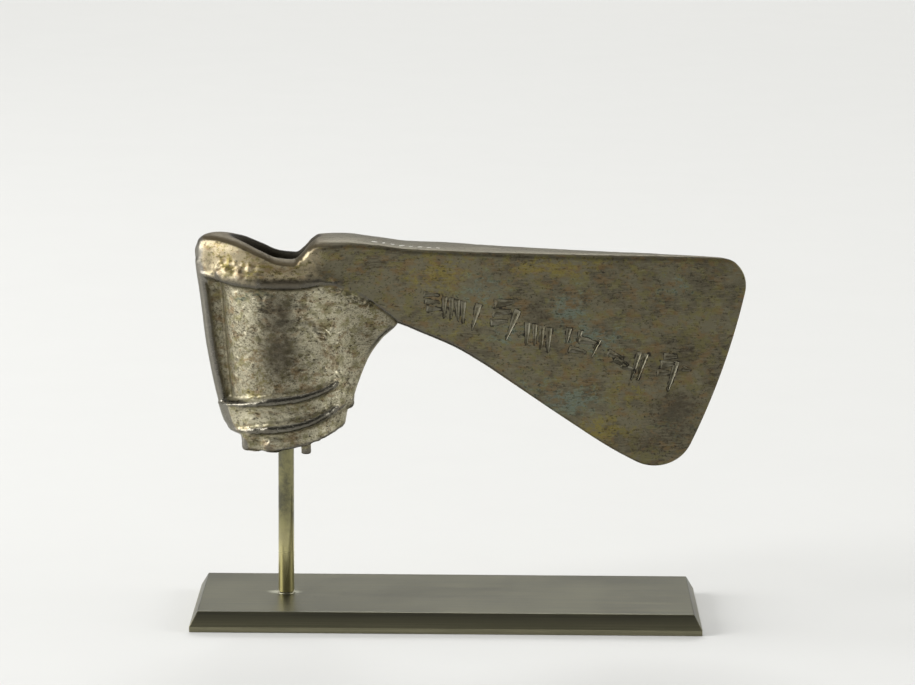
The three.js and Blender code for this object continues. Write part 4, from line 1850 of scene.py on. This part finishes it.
@dataclass
class SupportRod:
    """Brass rod that stands in the plate and runs up into the shaft hole, with a thin ring of solder."""

    sides: int = 64
    chamfer: float = 0.3
    chamfer_steps: int = 2
    sharp_angle: float = 40.0
    solder_radius: float = 0.16
    # How far the middle of the solder's section stands out from the rod, in its own radii.
    solder_reach: float = 0.4
    solder_sides: int = 12
    solder_sharp_angle: float = 60.0

    def rod_tree(self) -> bpy.types.NodeTree:
        """Tree of the rod: a closed round bar of a given radius and height.

        Returns:
            The tree, with its inputs named for what they set.
        """
        tree = new_tree("round_bar", {
            "Radius": "NodeSocketFloat", "Height": "NodeSocketFloat", "Sides": "NodeSocketInt",
            "Centre": "NodeSocketVector", "Material": "NodeSocketMaterial",
        })
        given = add_node(tree, "NodeGroupInput").outputs
        bar = add_node(
            tree, "GeometryNodeMeshCylinder",
            {"Vertices": given["Sides"], "Radius": given["Radius"], "Depth": given["Height"]},
        )
        place = {"Geometry": bar.outputs[0], "Translation": given["Centre"]}
        close_tree(tree, add_node(tree, "GeometryNodeTransform", place).outputs[0])
        return tree

    def ring_tree(self) -> bpy.types.NodeTree:
        """Tree of the solder: a round section swept about a circle.

        Returns:
            The tree, with its inputs named for what they set.
        """
        tree = new_tree("ring", {
            "Radius": "NodeSocketFloat", "Section": "NodeSocketFloat", "Sides": "NodeSocketInt",
            "Section Sides": "NodeSocketInt", "Centre": "NodeSocketVector", "Material": "NodeSocketMaterial",
        })
        given = add_node(tree, "NodeGroupInput").outputs
        path, section = (
            add_node(
                tree, "GeometryNodeCurvePrimitiveCircle",
                {"Resolution": given[sides], CIRCLE_RADIUS: given[radius]},
            )
            for sides, radius in (("Sides", "Radius"), ("Section Sides", "Section"))
        )
        swept = add_node(
            tree, "GeometryNodeCurveToMesh", {"Curve": path.outputs[0], "Profile Curve": section.outputs[0]},
        )
        place = {"Geometry": swept.outputs[0], "Translation": given["Centre"]}
        close_tree(tree, add_node(tree, "GeometryNodeTransform", place).outputs[0])
        return tree

    def build(self) -> list[bpy.types.Object]:
        """Makes the rod and its solder in the space of the frame's own rod.

        Returns:
            The rod and the ring of solder.
        """
        low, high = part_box("support_rod")
        plate_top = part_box("base_plate")[1].z
        middle = (low + high) / 2
        radius = (high.x - low.x) / 2
        solder = self.solder_radius * MM
        rod = new_object("brass_support_rod")
        use_tree(rod, self.rod_tree(), {
            "Radius": radius, "Height": high.z - low.z, "Sides": self.sides,
            "Centre": tuple(middle), "Material": TarnishedBrass().build("tarnished_brass"),
        })
        ends = rod.modifiers.new("chamfered_ends", "BEVEL")
        ends.width = self.chamfer * MM
        ends.segments = self.chamfer_steps
        ends.limit_method = "ANGLE"
        make_plain(rod)
        shade(rod.data, self.sharp_angle)
        ring = new_object("solder_ring")
        use_tree(ring, self.ring_tree(), {
            "Radius": radius + solder * self.solder_reach, "Section": solder, "Sides": self.sides,
            "Section Sides": self.solder_sides, "Centre": (middle.x, middle.y, plate_top),
            "Material": SOFT_SOLDER.build("soft_solder"),
        })
        make_plain(ring)
        shade(ring.data, self.solder_sharp_angle)
        for thing in (rod, ring):
            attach(thing, "root")
        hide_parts("support_rod")
        return [rod, ring]


# ---------------------------------------------------------------------------------------------
# Studio
# ---------------------------------------------------------------------------------------------


@dataclass(frozen=True)
class SoftBox:
    """A large soft lamp: its place, the size of its face in metres, its power in watts and its tint."""

    name: str
    place: Triple
    width: float
    height: float
    power: float
    tint: str = "#ffffff"


@dataclass
class Studio:
    """Pale floor, even pale surroundings that are darker behind the camera, soft lamps and the camera."""

    floor_half: float = 7.0
    lamps: tuple[SoftBox, ...] = (
        SoftBox("left_soft_box", (-1.7, -0.24, 0.7), 1.3, 1.2, 42.0),
        SoftBox("right_soft_box", (1.8, -0.1, 0.6), 1.2, 1.1, 14.0),
        SoftBox("overhead_soft_box", (-0.2, 0.15, 2.2), 1.4, 1.2, 9.5),
        SoftBox("backdrop_wash", (0.0, 3.2, 2.4), 2.6, 1.2, 68.0),
    )
    surround: float = 0.49
    surround_tint: str = "#fdfdf9"
    # Share of the light that comes from in front, and the directions between which it gives way.
    dark_share: float = 0.15
    dark_span: Span = (-0.85, -0.15)
    camera_place: Triple = (0.0075, -0.9368, 0.2412)
    camera_pitch: float = 10.36
    camera_heading: float = -0.313
    camera_roll: float = 0.363
    lens: float = 148.9
    sensor: float = 36.0
    far_clip: float = 50.0

    def build(self) -> None:
        """Sets up the whole studio."""
        self.build_floor()
        self.build_surround()
        self.build_lamps()
        self.build_camera()
        bpy.context.scene.view_settings.view_transform = "Standard"

    def build_floor(self) -> None:
        """Lays a wide floor level with the plate's underside."""
        half = self.floor_half
        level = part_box("base_plate")[0].z
        mesh = bpy.data.meshes.new("studio_floor")
        corners = [(-half, -half, level), (half, -half, level), (half, half, level), (-half, half, level)]
        mesh.from_pydata(corners, [], [(0, 1, 2, 3)])
        mesh.materials.append(PAINTED_FLOOR.build("painted_floor"))
        new_object("studio_floor", mesh)

    def build_surround(self) -> None:
        """Makes the light from all round, brighter behind the object than in front of it."""
        world = bpy.data.worlds.new("studio_surround")
        world.use_nodes = True
        tree = world.node_tree
        tree.nodes.clear()
        direction = add_node(tree, "ShaderNodeTexCoord").outputs["Generated"]
        parts = add_node(tree, "ShaderNodeSeparateXYZ", {0: direction}).outputs
        share = add_node(
            tree, "ShaderNodeMapRange",
            {"Value": parts[1], "From Min": self.dark_span[0], "From Max": self.dark_span[1],
             "To Min": self.dark_share, "To Max": 1.0},
            interpolation_type="SMOOTHSTEP",
        ).outputs[0]
        strength = add_node(tree, "ShaderNodeMath", {0: share, 1: self.surround}, operation="MULTIPLY")
        light = add_node(
            tree, "ShaderNodeBackground",
            {"Color": linear(self.surround_tint), "Strength": strength.outputs[0]},
        )
        add_node(tree, "ShaderNodeOutputWorld", {"Surface": light.outputs[0]})
        bpy.context.scene.world = world

    def build_lamps(self) -> None:
        """Hangs the soft boxes, each turned towards the axe head."""
        low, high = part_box("axe_head")
        target = (low + high) / 2
        for box in self.lamps:
            lamp = bpy.data.lights.new(box.name, "AREA")
            lamp.shape = "RECTANGLE"
            lamp.size, lamp.size_y = box.width, box.height
            lamp.energy = box.power
            lamp.color = linear(box.tint)[:3]
            thing = bpy.data.objects.new(box.name, lamp)
            thing.location = box.place
            thing.rotation_euler = (target - Vector(box.place)).to_track_quat("-Z", "Y").to_euler()
            bpy.context.scene.collection.objects.link(thing)

    def build_camera(self) -> None:
        """Places the camera, a long lens a little above the object."""
        angles = (self.camera_pitch, self.camera_heading, self.camera_roll)
        pitch, heading, roll = (math.radians(angle) for angle in angles)
        ahead = Vector((
            math.sin(heading) * math.cos(pitch), math.cos(heading) * math.cos(pitch), -math.sin(pitch),
        ))
        right = Vector((math.cos(heading), -math.sin(heading), 0.0))
        above = right.cross(ahead)
        turn = Matrix((right, above, -ahead)).transposed() @ Matrix.Rotation(roll, 3, "Z")
        camera = bpy.data.cameras.new("camera")
        camera.lens = self.lens
        camera.sensor_width = self.sensor
        camera.clip_end = self.far_clip
        thing = bpy.data.objects.new("camera", camera)
        thing.matrix_world = Matrix.Translation(self.camera_place) @ turn.to_4x4()
        bpy.context.scene.collection.objects.link(thing)
        bpy.context.scene.camera = thing


def main() -> None:
    """Builds the object around the frame, then the studio."""
    logging.basicConfig(level=logging.INFO, format="%(name)s: %(message)s")
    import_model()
    pieces = [*AxeHead().build(), BasePlate().build(), *SupportRod().build()]
    for piece in pieces:
        LOG.info("%s has %d faces", piece.name, len(piece.data.polygons))
    Studio().build()


if __name__ == "__main__":
    main()
